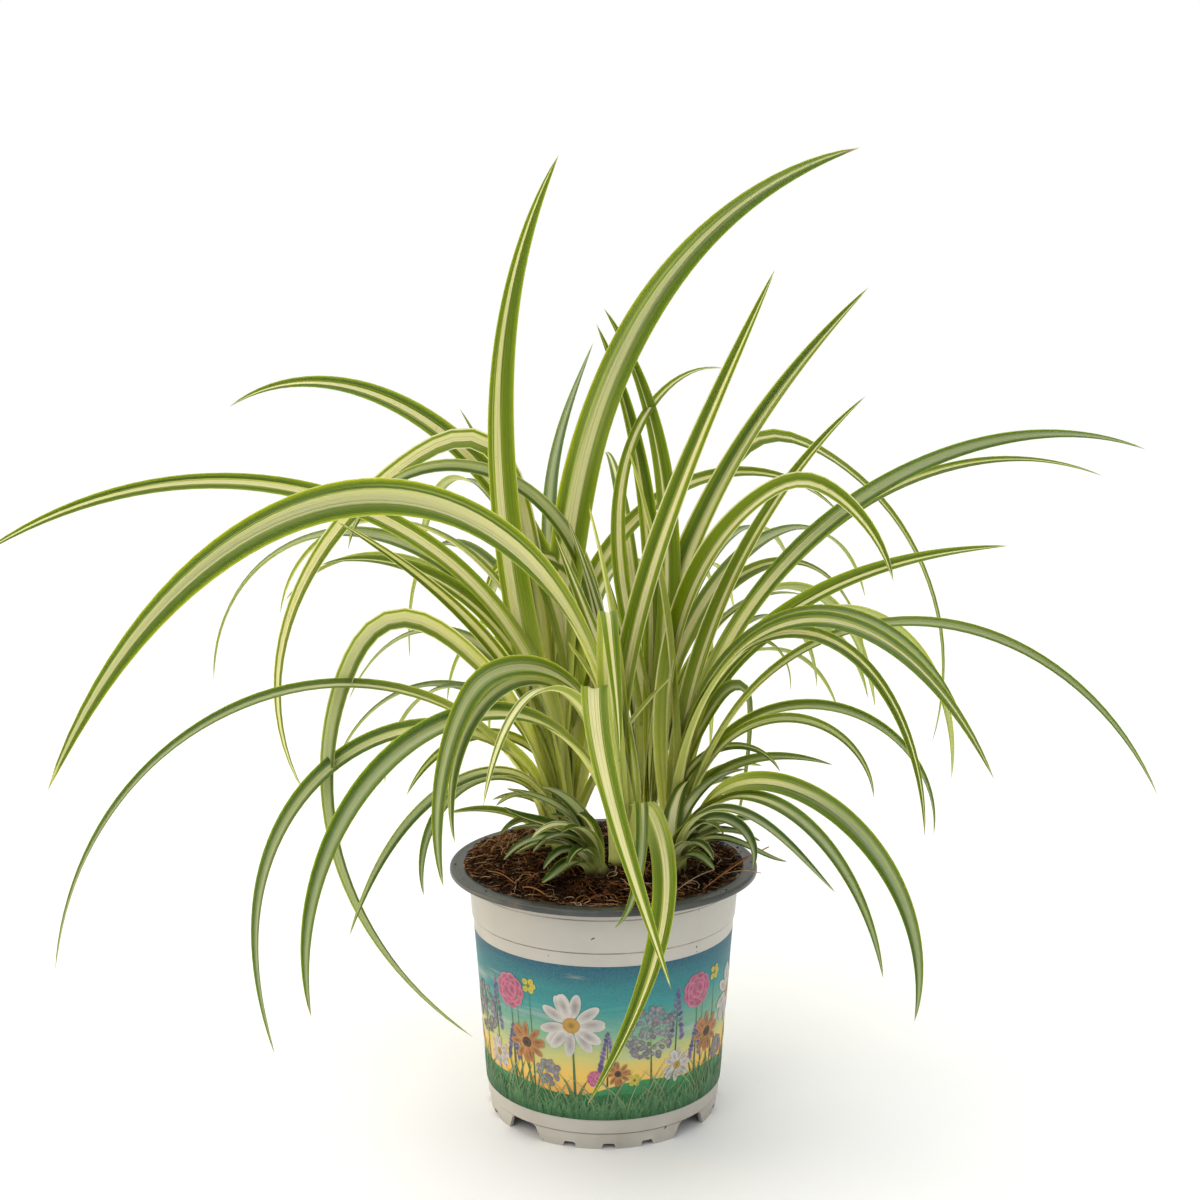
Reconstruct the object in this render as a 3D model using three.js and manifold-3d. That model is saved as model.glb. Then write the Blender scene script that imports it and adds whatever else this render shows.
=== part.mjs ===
// A spider plant in a 12 cm nursery pot: seven rosettes of striped leaves in a pot of coir and peat.
// Millimetres, +Z up, the origin on the ground under the pot's centre. +X is right and +Y is away
// from the viewer. Each rosette is one solid: its leaves grow out of a short rootstock.

import * as THREE from "three";
import { mergeVertices } from "three/addons/utils/BufferGeometryUtils.js";
import Module from "manifold-3d";

const wasm = await Module();
wasm.setup();

// ---------------------------------------------------------------- driving dimensions

const GAP = 0.3; // between pieces that touch
const DEG = Math.PI / 180;

// Pot
const POT_SIDES = 40;
const SHEET = 1.2; // thickness of the pot's sheet
const FOOT_RADIUS = 44.9; // outside, on the ground
const FOOT_WIDTH = 1.7; // of the ring that stands on the ground
const WALL_SLOPE = 0.075; // growth of the radius for each millimetre up, between the step lines
const STEP_OUT = 0.5; // how far the wall steps out at each step line
const STEP_RISE = 0.4; // height of each such step
const STEP_LINES = [6.2, 78.7, 91.7];
const RIM_RADIUS = 60.2;
const RIM_UNDER = 96.4; // height of the flange's underside
const RIM_TOP = 98;
const LIP = { width: 1, drop: 0.6 }; // how the flange's edge is turned down
const FLOOR_UNDER = 6.6; // height of the raised floor's underside

// Notches in the foot, by angle in degrees and height
const WIDE_NOTCH = { first: 47.5, half: 12, halfTop: 7.5, height: STEP_LINES[0] };
const SMALL_NOTCH = { first: 2.5, turns: [-19, 0, 19], half: 3.5, halfTop: 2.5, height: 2.3 };
const FEET = 4;

// Drain holes in the floor
const DRAIN = { count: 8, radius: 4, ring: 33, sides: 10 };

// Growing medium: its height at the wall, and the mound in the middle
const SOIL = { edge: 96.5, mound: 4, reach: 51, lump: 0.6, sides: 26, rings: 5 };

// Rosettes: where each rootstock stands, and its radius
const CROWN_HEIGHT = 101.5; // where the leaves leave the rootstock's axis
const ROOT_DEPTH = 86; // bottom of the rootstock
const ROOT_SIDES = 8;
const UPRIGHT = 70; // a leaf whose middle stands this steep is rooted on the axis
const SPREADING = -10; // one whose middle is as flat as this is rooted at the edge
const BUD = 8; // height of the rootstock's top above that
const CROWNS = {
  rosette_left: { x: -14, y: 6, radius: 8 },
  rosette_front: { x: 9, y: -13, radius: 8 },
  rosette_right: { x: 27, y: 6, radius: 8 },
  rosette_back_left: { x: -14, y: 34, radius: 8 },
  rosette_back_right: { x: 18, y: 36, radius: 8 },
  offset_left: { x: -2, y: -23, radius: 5.5 },
  offset_right: { x: 25, y: -20, radius: 5.5 },
};

// Leaves that show from the front, one to a row. Angles in degrees, sizes in millimetres:
// [heading, elevation at the root, at the middle, at the tip, length, width, sway, roll, bend]
// Heading 0 is right and 90 is away. Sway turns the heading and roll turns the blade on the way to
// the tip. A bend is a crease: where it is along the leaf, and by how much it drops the leaf.
const LEAVES = {
  rosette_left: [
    [178, 79, 85, 118, 273, 14, 2, -70],
    [196, 99, 30, -33, 308, 11, 9, -55],
    [174, 92, 53, -18, 174, 10.5, -6, -45],
    [190, 93, 54, 32, 165, 9, -1, -50],
    [201, 89, 12, -64, 311, 10, -32, -55, { at: 0.39, by: 84 }],
    [197, 85, -14, -83, 283, 6, -11, -40],
    [227, 102, -15, -69, 141, 6, -16, -35],
    [204, 102, -8, -105, 108, 6, 27, -40],
    [195, 101, -40, -104, 243, 9, -9, -45],
    [190, 58, 20, -10, 48, 8, 0, -10],
    [171, 100, 34, -25, 40, 7, 5, -10],
    [172, 98, 48, -10, 46, 9, 0, 0],
    [205, 96, 40, -40, 44, 9, 0, 0],
    [215, 90, 20, -40, 36, 9, 0, 0],
    [150, 96, 44, -20, 44, 9, 0, 0],
    [345, 76, 60, 46, 84, 12, 0, 0],
  ],
  rosette_front: [
    [227, 98, 18, -59, 366, 16, 11, -70],
    [217, 97, -12, -102, 237, 10, 9, -40],
    [229, 102, 16, -82, 213, 11, 11, -50, { at: 0.66, by: 27 }],
    [219, 95, 22, -112, 182, 8, 27, -40],
    [242, 86, 27, -57, 182, 8, 13, 10],
    [240, 68, 51, 24, 213, 11, 66, 0, { at: 0.43, by: 82 }],
    [246, 66, 63, -2, 175, 9.5, 40, 0, { at: 0.68, by: 84 }],
    [309, 80, 62, 50, 157, 10, -90, 0, { at: 0.17, by: 97 }],
    [288, 72, 42, 86, 107, 5.5, -40, 0, { at: 0.38, by: 81 }],
    [170, 101, 74, 69, 131, 8, 1, -60],
    [0, 101, 73, 65, 235, 11, 10, 60],
    [185, 92, 84, 76, 140, 12, 0, 0],
    [210, 96, 74, 50, 95, 10, 0, 0],
    [150, 94, 78, 66, 135, 11, 0, 0],
  ],
  rosette_right: [
    [350, 92, 40, -18, 289, 9.5, 30, 50],
    [10, 91, 40, -20, 271, 8, 6, 35],
    [351, 96, 64, -31, 222, 13, -18, 55, { at: 0.76, by: 45 }],
    [22, 93, 63, 34, 207, 8, 9, 45],
    [341, 101, 42, 6, 198, 10.5, -2, 50],
    [308, 99, 20, -48, 248, 9, -13, 50],
    [330, 85, 17, -62, 258, 6, -13, 45],
    [323, 101, 29, -63, 217, 8, -17, 50],
    [345, 99, 8, -95, 164, 6, 3, 45],
    [316, 101, 18, -88, 230, 7, -22, 50],
    [334, 85, 27, -86, 127, 6, -4, 45],
    [6, 101, 23, -18, 82, 6.5, -1, 35],
    [308, 77, -24, -100, 174, 10, 27, 45],
    [305, 72, -14, -78, 143, 7, 9, 30],
    [5, 98, 52, 31, 136, 7, 20, 40, { at: 0.54, by: 133 }],
    [356, 101, 45, -62, 75, 6, -12, 40],
    [340, 84, 20, -48, 34, 7, -10, 15],
    [20, 96, 40, -20, 56, 9, 0, 0],
    [350, 96, 44, -30, 50, 9, 0, 0],
    [185, 94, 84, 72, 160, 12, 0, 0],
  ],
  rosette_back_left: [
    [349, 92, 74, 13, 319, 19, -2, 75],
    [173, 102, 51, -28, 292, 12.5, -21, -60],
    [182, 78, 68, -20, 352, 12, -2, -55, { at: 0.47, by: 98 }],
    [173, 102, 63, -80, 238, 10, 30, -55],
    [146, 102, 24, -96, 248, 7, -37, -30],
    [185, 68, 88, -130, 168, 10.5, -15, -50],
    [207, 101, 19, -54, 108, 6.5, 20, -50],
    [117, 101, 42, 45, 267, 8, -50, 0],
    [151, 90, 74, 54, 182, 6, 2, -40],
    [37, 101, 54, -49, 235, 10, -31, 45],
  ],
  rosette_back_right: [
    [5, 97, 67, 45, 245, 12, -2, 55],
    [23, 93, 47, -43, 360, 8.5, 0, 45, { at: 0.48, by: 66 }],
    [12, 80, 46, -98, 136, 5.5, 30, 40],
    [41, 101, 24, -84, 232, 8, 1, 35],
    [11, 71, 67, -18, 131, 5, 2, 30],
    [165, 92, 87, 64, 209, 10, 2, -70],
    [170, 94, 90, 56, 217, 11, -1, -70],
    [108, 82, 64, -6, 200, 8.5, -12, -15],
    [40, 75, 98, -8, 221, 8, -5, 30],
    [140, 83, 79, 69, 106, 6, 0, -20],
  ],
  offset_left: [
    [178, 100, 22, 38, 44, 9, 0, -15],
    [195, 83, 10, -50, 42, 9, 0, -10],
    [204, 98, 24, -55, 35, 8, 0, -5],
    [224, 80, -10, -5, 27, 8.5, 3, -5],
    [240, 95, 22, -46, 28, 7, 2, 0],
    [150, 92, 58, -75, 34, 7, 2, -10],
    [168, 100, 36, 10, 50, 9, 0, 0],
    [212, 96, 34, -40, 40, 9, 0, 0],
    [151, 91, 52, 2, 42, 9, 2, -15],
    [178, 90, 6, -30, 34, 9, 0, 0],
    [220, 90, 12, -50, 30, 9, 0, 0],
    [160, 92, 14, -10, 40, 9, 0, 0],
    [232, 98, 46, -20, 34, 8, 0, 0],
    [139, 94, 34, -10, 33, 9, -4, 0],
  ],
  offset_right: [
    [313, 100, -2, -26, 102, 5, -7, 30],
    [1, 99, -14, -8, 48, 6, 0, 20],
    [-14, 98, 10, -110, 56, 8, -25, 20],
    [20, 84, 50, -58, 22, 9, 0, 20],
    [317, 90, 6, -23, 24, 7, -11, 10],
    [40, 94, 38, -6, 57, 9, 0, -10],
    [21, 92, 14, -1, 44, 8, 0, 14],
    [348, 90, 44, -70, 34, 12, 0, -10],
    [312, 92, 24, -60, 30, 8, 0, 0],
    [8, 92, 10, -30, 40, 9, 0, 0],
    [74, 96, 53, -2, 41, 9, -7, 8],
  ],
};


// The leaves behind are drawn by a seeded rule, spread evenly between two headings.
const FILL_SEED = 478;
const FILL = [
  { crown: "rosette_back_left", from: 78, to: 152, count: 9 },
  { crown: "rosette_back_right", from: 32, to: 100, count: 9 },
  { crown: "rosette_right", from: 25, to: 58, count: 4 },
  { crown: "rosette_left", from: 128, to: 160, count: 4 },
];
// The lowest and highest value of each draw; droop is how far the tip turns down from the middle.
const DRAWN = {
  length: [160, 300],
  width: [6, 11],
  rise: [90, 98],
  middle: [0, 45],
  droop: [70, 120],
  sway: [-20, 20],
  roll: [-35, 35],
};

// Blades
const STEPS = 48; // fine steps in which a leaf's midline is laid out
const BLADE = { root: 1.3, tip: 0.7 }; // thickness of the blade over its keel
const BASE = { width: 0.78, reach: 0.25 }; // share of the full width at the root, and where it ends
const FOLD = { open: 16, root: 30, fade: 0.12 }; // how far the halves fold up, and more at the root

// ---------------------------------------------------------------- helpers

// A closed geometry as a manifold solid, turned outwards if its faces point inwards.
function solid(geometry) {
  const bare = new THREE.BufferGeometry();
  bare.setAttribute("position", geometry.getAttribute("position").clone());
  bare.setIndex(geometry.index);
  const merged = mergeVertices(bare, 1e-4);
  const vertProperties = new Float32Array(merged.attributes.position.array);
  const triVerts = new Uint32Array(merged.index.array);
  const made = new wasm.Manifold(new wasm.Mesh({ numProp: 3, vertProperties, triVerts }));
  if (made.volume() > 0) return made;
  triVerts.reverse();
  return new wasm.Manifold(new wasm.Mesh({ numProp: 3, vertProperties, triVerts }));
}

// A manifold solid as a three.js geometry.
function geometryOf(body) {
  const mesh = body.getMesh();
  const geometry = new THREE.BufferGeometry();
  geometry.setAttribute("position", new THREE.BufferAttribute(mesh.vertProperties, 3));
  geometry.setIndex(new THREE.BufferAttribute(mesh.triVerts, 1));
  const flat = geometry.toNonIndexed();
  flat.computeVertexNormals();
  return flat;
}

// A solid of revolution about the Z axis, from [radius, height] pairs.
function turned(profile, sides) {
  const points = profile.map(([radius, height]) => new THREE.Vector2(radius, height));
  const geometry = new THREE.LatheGeometry(points, sides);
  geometry.rotateX(Math.PI / 2);
  return solid(geometry);
}

function cylinder(radius, height, sides, x, y, z) {
  const geometry = new THREE.CylinderGeometry(radius, radius, height, sides);
  geometry.rotateX(Math.PI / 2);
  geometry.translate(x, y, z);
  return solid(geometry);
}

// The part of several bodies that hangs together: what fusing seals inside it is filled.
function largest(body) {
  const parts = body.decompose();
  return parts.reduce((best, part) => (part.volume() > best.volume() ? part : best));
}

// Repeatable draws between 0 and 1.
function drawer(seed) {
  let value = seed;
  return () => {
    value = (1664525 * value + 1013904223) % 4294967296;
    return value / 4294967296;
  };
}

// ---------------------------------------------------------------- pot

// Radius of the pot's outside at a height between the ground and the rim.
function wallRadius(height) {
  const steps = STEP_LINES.filter((line) => line < height).length;
  return FOOT_RADIUS + WALL_SLOPE * height + STEP_OUT * steps;
}

// A wedge that cuts one notch into the foot: a trapezium in front view, pushed through the wall.
function notchCutter(notch, turn) {
  const below = 1;
  const depth = 12;
  const across = (angle) => FOOT_RADIUS * Math.sin(angle * DEG);
  const outline = new THREE.Shape([
    new THREE.Vector2(-across(notch.half), -below),
    new THREE.Vector2(across(notch.half), -below),
    new THREE.Vector2(across(notch.halfTop), notch.height),
    new THREE.Vector2(-across(notch.halfTop), notch.height),
  ]);
  const geometry = new THREE.ExtrudeGeometry(outline, { depth, bevelEnabled: false });
  geometry.rotateX(Math.PI / 2);
  geometry.rotateZ(Math.PI);
  geometry.translate(0, FOOT_RADIUS - depth / 2, 0);
  geometry.rotateZ(turn * DEG - Math.PI / 2);
  return solid(geometry);
}

function pot() {
  const outside = [];
  for (const line of STEP_LINES) {
    outside.push([wallRadius(line), line]);
    outside.push([wallRadius(line) + STEP_OUT, line + STEP_RISE]);
  }
  const neck = wallRadius(RIM_UNDER);
  const rim = [
    [neck, RIM_UNDER],
    [RIM_RADIUS - LIP.width, RIM_UNDER],
    [RIM_RADIUS - LIP.width, RIM_UNDER - LIP.drop],
    [RIM_RADIUS, RIM_UNDER - LIP.drop],
    [RIM_RADIUS, RIM_TOP - LIP.drop],
    [RIM_RADIUS - LIP.drop, RIM_TOP],
    [neck, RIM_TOP],
    [neck - SHEET, RIM_TOP - LIP.width],
  ];
  const inside = outside.map(([radius, height]) => [radius - SHEET, height]).reverse();
  inside.pop();
  inside.pop();
  const floorTop = FLOOR_UNDER + SHEET;
  const profile = [
    [0, FLOOR_UNDER],
    [wallRadius(FLOOR_UNDER) - FOOT_WIDTH, FLOOR_UNDER],
    [FOOT_RADIUS - FOOT_WIDTH, 0],
    [FOOT_RADIUS, 0],
    ...outside,
    ...rim,
    ...inside,
    [wallRadius(floorTop) - SHEET, floorTop],
    [0, floorTop],
  ];
  let body = turned(profile, POT_SIDES);
  for (let foot = 0; foot < FEET; foot += 1) {
    const quarter = (foot * 360) / FEET;
    body = body.subtract(notchCutter(WIDE_NOTCH, WIDE_NOTCH.first + quarter));
    for (const turn of SMALL_NOTCH.turns) {
      body = body.subtract(notchCutter(SMALL_NOTCH, SMALL_NOTCH.first + quarter + turn));
    }
  }
  for (let hole = 0; hole < DRAIN.count; hole += 1) {
    const angle = (hole * 2 * Math.PI) / DRAIN.count;
    const x = DRAIN.ring * Math.cos(angle);
    const y = DRAIN.ring * Math.sin(angle);
    body = body.subtract(cylinder(DRAIN.radius, 4 * SHEET, DRAIN.sides, x, y, FLOOR_UNDER));
  }
  return body.subtract(cylinder(DRAIN.radius, 4 * SHEET, DRAIN.sides, 0, 0, FLOOR_UNDER));
}

// ---------------------------------------------------------------- growing medium

// Height of the soil's surface: a low mound with lumps.
function soilHeight(x, y) {
  const out = Math.hypot(x, y) / SOIL.reach;
  const lumps = Math.sin(x * 0.31 + 1) * Math.cos(y * 0.27) + Math.sin(x * 0.13 - y * 0.22);
  return SOIL.edge + SOIL.mound * (1 - out * out) + SOIL.lump * lumps * (1 - out);
}

function soil() {
  const bottom = FLOOR_UNDER + SHEET + GAP;
  const wall = (height) => wallRadius(height) - SHEET - GAP;
  const profile = [[0, bottom]];
  for (const height of [bottom, ...STEP_LINES.slice(1)]) profile.push([wall(height), height]);
  profile.push([wall(SOIL.edge - 2), SOIL.edge]);
  for (let ring = SOIL.rings - 1; ring >= 0; ring -= 1) {
    profile.push([(SOIL.reach * ring) / SOIL.rings, SOIL.edge]);
  }
  const points = profile.map(([radius, height]) => new THREE.Vector2(radius, height));
  const geometry = new THREE.LatheGeometry(points, SOIL.sides);
  geometry.rotateX(Math.PI / 2);
  const position = geometry.getAttribute("position");
  for (let i = 0; i < position.count; i += 1) {
    const x = position.getX(i);
    const y = position.getY(i);
    const onTop = position.getZ(i) > SOIL.edge - 0.01;
    if (onTop) position.setZ(i, soilHeight(x, y));
  }
  let body = solid(geometry);
  for (const { x, y, radius } of Object.values(CROWNS)) {
    const height = 40;
    const hole = cylinder(radius + GAP, height, ROOT_SIDES, x, y, ROOT_DEPTH - GAP + height / 2);
    body = body.subtract(hole);
  }
  return body;
}

// ---------------------------------------------------------------- leaves

// How far from the rootstock's axis a leaf is rooted: the flatter it arches, the further out.
function rootRing(middle, crown) {
  const upright = (middle - SPREADING) / (UPRIGHT - SPREADING);
  return crown.radius * (1 - THREE.MathUtils.clamp(upright, 0, 1));
}

// A leaf's midline as stations: the point, the way across the blade and the way up out of it.
function midline(leaf, crown) {
  const [heading, rise, middle, tip, length, , sway, roll, bend] = leaf;
  const elevation = (s) => {
    const arch = rise * (1 - s) * (1 - 2 * s) + 4 * middle * s * (1 - s) + tip * s * (2 * s - 1);
    const crease = bend ? bend.by / (1 + Math.exp((bend.at - s) / 0.02)) : 0;
    return (arch - crease) * DEG;
  };
  const turn = (s) => (heading + sway * s) * DEG;
  const point = new THREE.Vector3(crown.x, crown.y, CROWN_HEIGHT);
  point.x += rootRing(middle, crown) * Math.cos(heading * DEG);
  point.y += rootRing(middle, crown) * Math.sin(heading * DEG);
  const stations = [];
  for (let step = 0; step <= STEPS; step += 1) {
    const s = step / STEPS;
    const e = elevation(s);
    const h = turn(s);
    const twist = roll * DEG * (1 - Math.exp(-s / 0.15));
    const side = new THREE.Vector3(-Math.sin(h), Math.cos(h), 0);
    const top = new THREE.Vector3(
      -Math.sin(e) * Math.cos(h),
      -Math.sin(e) * Math.sin(h),
      Math.cos(e),
    );
    const across = side.clone().multiplyScalar(Math.cos(twist)).addScaledVector(top, Math.sin(twist));
    const up = top.clone().multiplyScalar(Math.cos(twist)).addScaledVector(side, -Math.sin(twist));
    stations.push({ s, point: point.clone(), across, up });
    const mid = s + 0.5 / STEPS;
    point.x += (length / STEPS) * Math.cos(elevation(mid)) * Math.cos(turn(mid));
    point.y += (length / STEPS) * Math.cos(elevation(mid)) * Math.sin(turn(mid));
    point.z += (length / STEPS) * Math.sin(elevation(mid));
  }
  return stations;
}

// Half the blade's width along the leaf: narrower at the root, then a slow taper to a long point.
function halfWidth(width, s) {
  const taper = (1 - s ** 2.6) ** 0.75;
  const root = BASE.width + (1 - BASE.width) * Math.min(s / BASE.reach, 1);
  return (width / 2) * taper * root;
}

// How far the two halves of the blade fold up: a deep channel at the root that opens out.
function foldAngle(s) {
  return (FOLD.open + FOLD.root * Math.exp(-s / FOLD.fade)) * DEG;
}

// Segments in a leaf of a given length; each is a whole number of fine steps.
function segments(length) {
  if (length < 120) return 6;
  return length < 285 ? 8 : 12;
}

// One blade: rings of left edge, right edge and keel, closed at the root and in a point.
function blade(leaf, crown) {
  const [, , , , length, width] = leaf;
  const count = segments(length);
  const stations = midline(leaf, crown).filter((_, step) => step % (STEPS / count) === 0);
  const position = [];
  for (const { s, point, across, up } of stations.slice(0, -1)) {
    const half = halfWidth(width, s);
    const fold = foldAngle(s);
    const keel = -(BLADE.tip + (BLADE.root - BLADE.tip) * (1 - s));
    const corners = [
      [-half * Math.cos(fold), half * Math.sin(fold)],
      [half * Math.cos(fold), half * Math.sin(fold)],
      [0, keel],
    ];
    for (const [sideways, upwards] of corners) {
      const corner = point.clone().addScaledVector(across, sideways).addScaledVector(up, upwards);
      position.push(...corner.toArray());
    }
  }
  position.push(...stations.at(-1).point.toArray());
  const index = [0, 1, 2];
  const tip = 3 * count;
  for (let ring = 0; ring < tip; ring += 3) {
    for (const [a, b] of [[0, 1], [1, 2], [2, 0]]) {
      if (ring + 3 === tip) index.push(ring + a, tip, ring + b);
      else index.push(ring + a, ring + 3 + a, ring + 3 + b, ring + a, ring + 3 + b, ring + b);
    }
  }
  const geometry = new THREE.BufferGeometry();
  geometry.setAttribute("position", new THREE.BufferAttribute(new Float32Array(position), 3));
  geometry.setIndex(index);
  return solid(geometry);
}

// The rootstock: a short stub in the soil that ends in a bud, which the leaves clasp.
function rootstock({ x, y, radius }) {
  const profile = [
    [0, ROOT_DEPTH],
    [radius - 2, ROOT_DEPTH],
    [radius, ROOT_DEPTH + 4],
    [radius, CROWN_HEIGHT + 0.5],
    [0.6 * radius, CROWN_HEIGHT + 0.5 * BUD],
    [0, CROWN_HEIGHT + BUD],
  ];
  return turned(profile, ROOT_SIDES).translate(x, y, 0);
}

// The leaves that the rule adds, as rows for each rosette.
function hiddenLeaves() {
  const draw = drawer(FILL_SEED);
  const between = ([low, high], part) => low + (high - low) * part;
  const rows = {};
  for (const { crown, from, to, count } of FILL) {
    rows[crown] = [];
    for (let k = 0; k < count; k += 1) {
      const heading = from + ((to - from) * (k + draw())) / count;
      const size = draw();
      const length = between(DRAWN.length, size);
      const width = between(DRAWN.width, size);
      const rise = between(DRAWN.rise, draw());
      const middle = between(DRAWN.middle, draw());
      const tip = middle - between(DRAWN.droop, draw());
      const sway = between(DRAWN.sway, draw());
      const roll = between(DRAWN.roll, draw());
      rows[crown].push([heading, rise, middle, tip, length, width, sway, roll]);
    }
  }
  return rows;
}

function rosette(crown, leaves) {
  const body = leaves.reduce((sum, leaf) => sum.add(blade(leaf, crown)), rootstock(crown));
  return largest(body);
}

// ---------------------------------------------------------------- assembly

function piece(name, body, color, roughness) {
  const material = new THREE.MeshStandardMaterial({ color, roughness, metalness: 0 });
  const mesh = new THREE.Mesh(geometryOf(body), material);
  mesh.name = name;
  return mesh;
}

const plant = new THREE.Group();
plant.add(piece("pot", pot(), 0xe9e4da, 0.5));
plant.add(piece("soil", soil(), 0x3b2519, 1));
const hidden = hiddenLeaves();
for (const [name, crown] of Object.entries(CROWNS)) {
  const leaves = [...LEAVES[name], ...(hidden[name] ?? [])];
  const color = name.startsWith("offset") ? 0x4d7a2a : 0x86a83c;
  plant.add(piece(name, rosette(crown, leaves), color, 0.55));
}

export default plant;
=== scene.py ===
# A spider plant in a 12 cm nursery pot, dressed for rendering. Metres, +Z up, the origin on the ground
# under the pot's centre, +X to the viewer's right and +Y away from the viewer.

import math
import random

import bmesh
import bpy
import numpy as np
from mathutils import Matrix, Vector


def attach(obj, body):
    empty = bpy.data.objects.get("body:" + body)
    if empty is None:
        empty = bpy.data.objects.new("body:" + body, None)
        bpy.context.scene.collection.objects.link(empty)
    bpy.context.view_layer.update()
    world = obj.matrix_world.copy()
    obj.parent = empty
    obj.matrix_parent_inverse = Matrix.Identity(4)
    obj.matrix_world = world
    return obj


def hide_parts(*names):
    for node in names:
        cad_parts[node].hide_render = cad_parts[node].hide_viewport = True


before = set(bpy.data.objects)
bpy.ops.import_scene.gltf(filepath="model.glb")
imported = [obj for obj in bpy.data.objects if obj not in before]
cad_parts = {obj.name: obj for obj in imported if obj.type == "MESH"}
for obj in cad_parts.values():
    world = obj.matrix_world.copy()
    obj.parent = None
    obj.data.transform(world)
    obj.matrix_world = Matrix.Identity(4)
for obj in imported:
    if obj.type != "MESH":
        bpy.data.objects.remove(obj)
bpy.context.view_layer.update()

MM = 0.001
SEED = 11  # of every draw that isn't part of the plant's own rule

# ---- the plant's own dimensions, in mm

FOOT_RADIUS = 44.9
WALL_SLOPE = 0.075
STEP_OUT = 0.5
STEP_RISE = 0.4
STEP_LINES = [6.2, 78.7, 91.7]
SHEET = 1.2
RIM_RADIUS = 60.2
RIM_UNDER = 96.4
RIM_TOP = 98
LIP = {"width": 1, "drop": 0.6}
FLOOR_UNDER = 6.6
WIDE_NOTCH = {"first": 47.5, "half": 12, "half_top": 7.5, "height": 6.2}
SMALL_NOTCH = {"first": 2.5, "turns": (-19, 0, 19), "half": 3.5, "half_top": 2.5, "height": 2.3}
FEET = 4
DRAIN = {"count": 8, "radius": 4, "ring": 33}
SOIL = {"edge": 96.5, "mound": 4, "reach": 51, "lump": 0.6}
CROWN_HEIGHT = 101.5
UPRIGHT = 70
SPREADING = -10
CROWNS = {
    "rosette_left": (-14, 6, 8),
    "rosette_front": (9, -13, 8),
    "rosette_right": (27, 6, 8),
    "rosette_back_left": (-14, 34, 8),
    "rosette_back_right": (18, 36, 8),
    "offset_left": (-2, -23, 5.5),
    "offset_right": (25, -20, 5.5),
}
# What the leaf shader reads at each point
FACTS = ("across", "along", "seed", "tone", "stripe")

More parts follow.
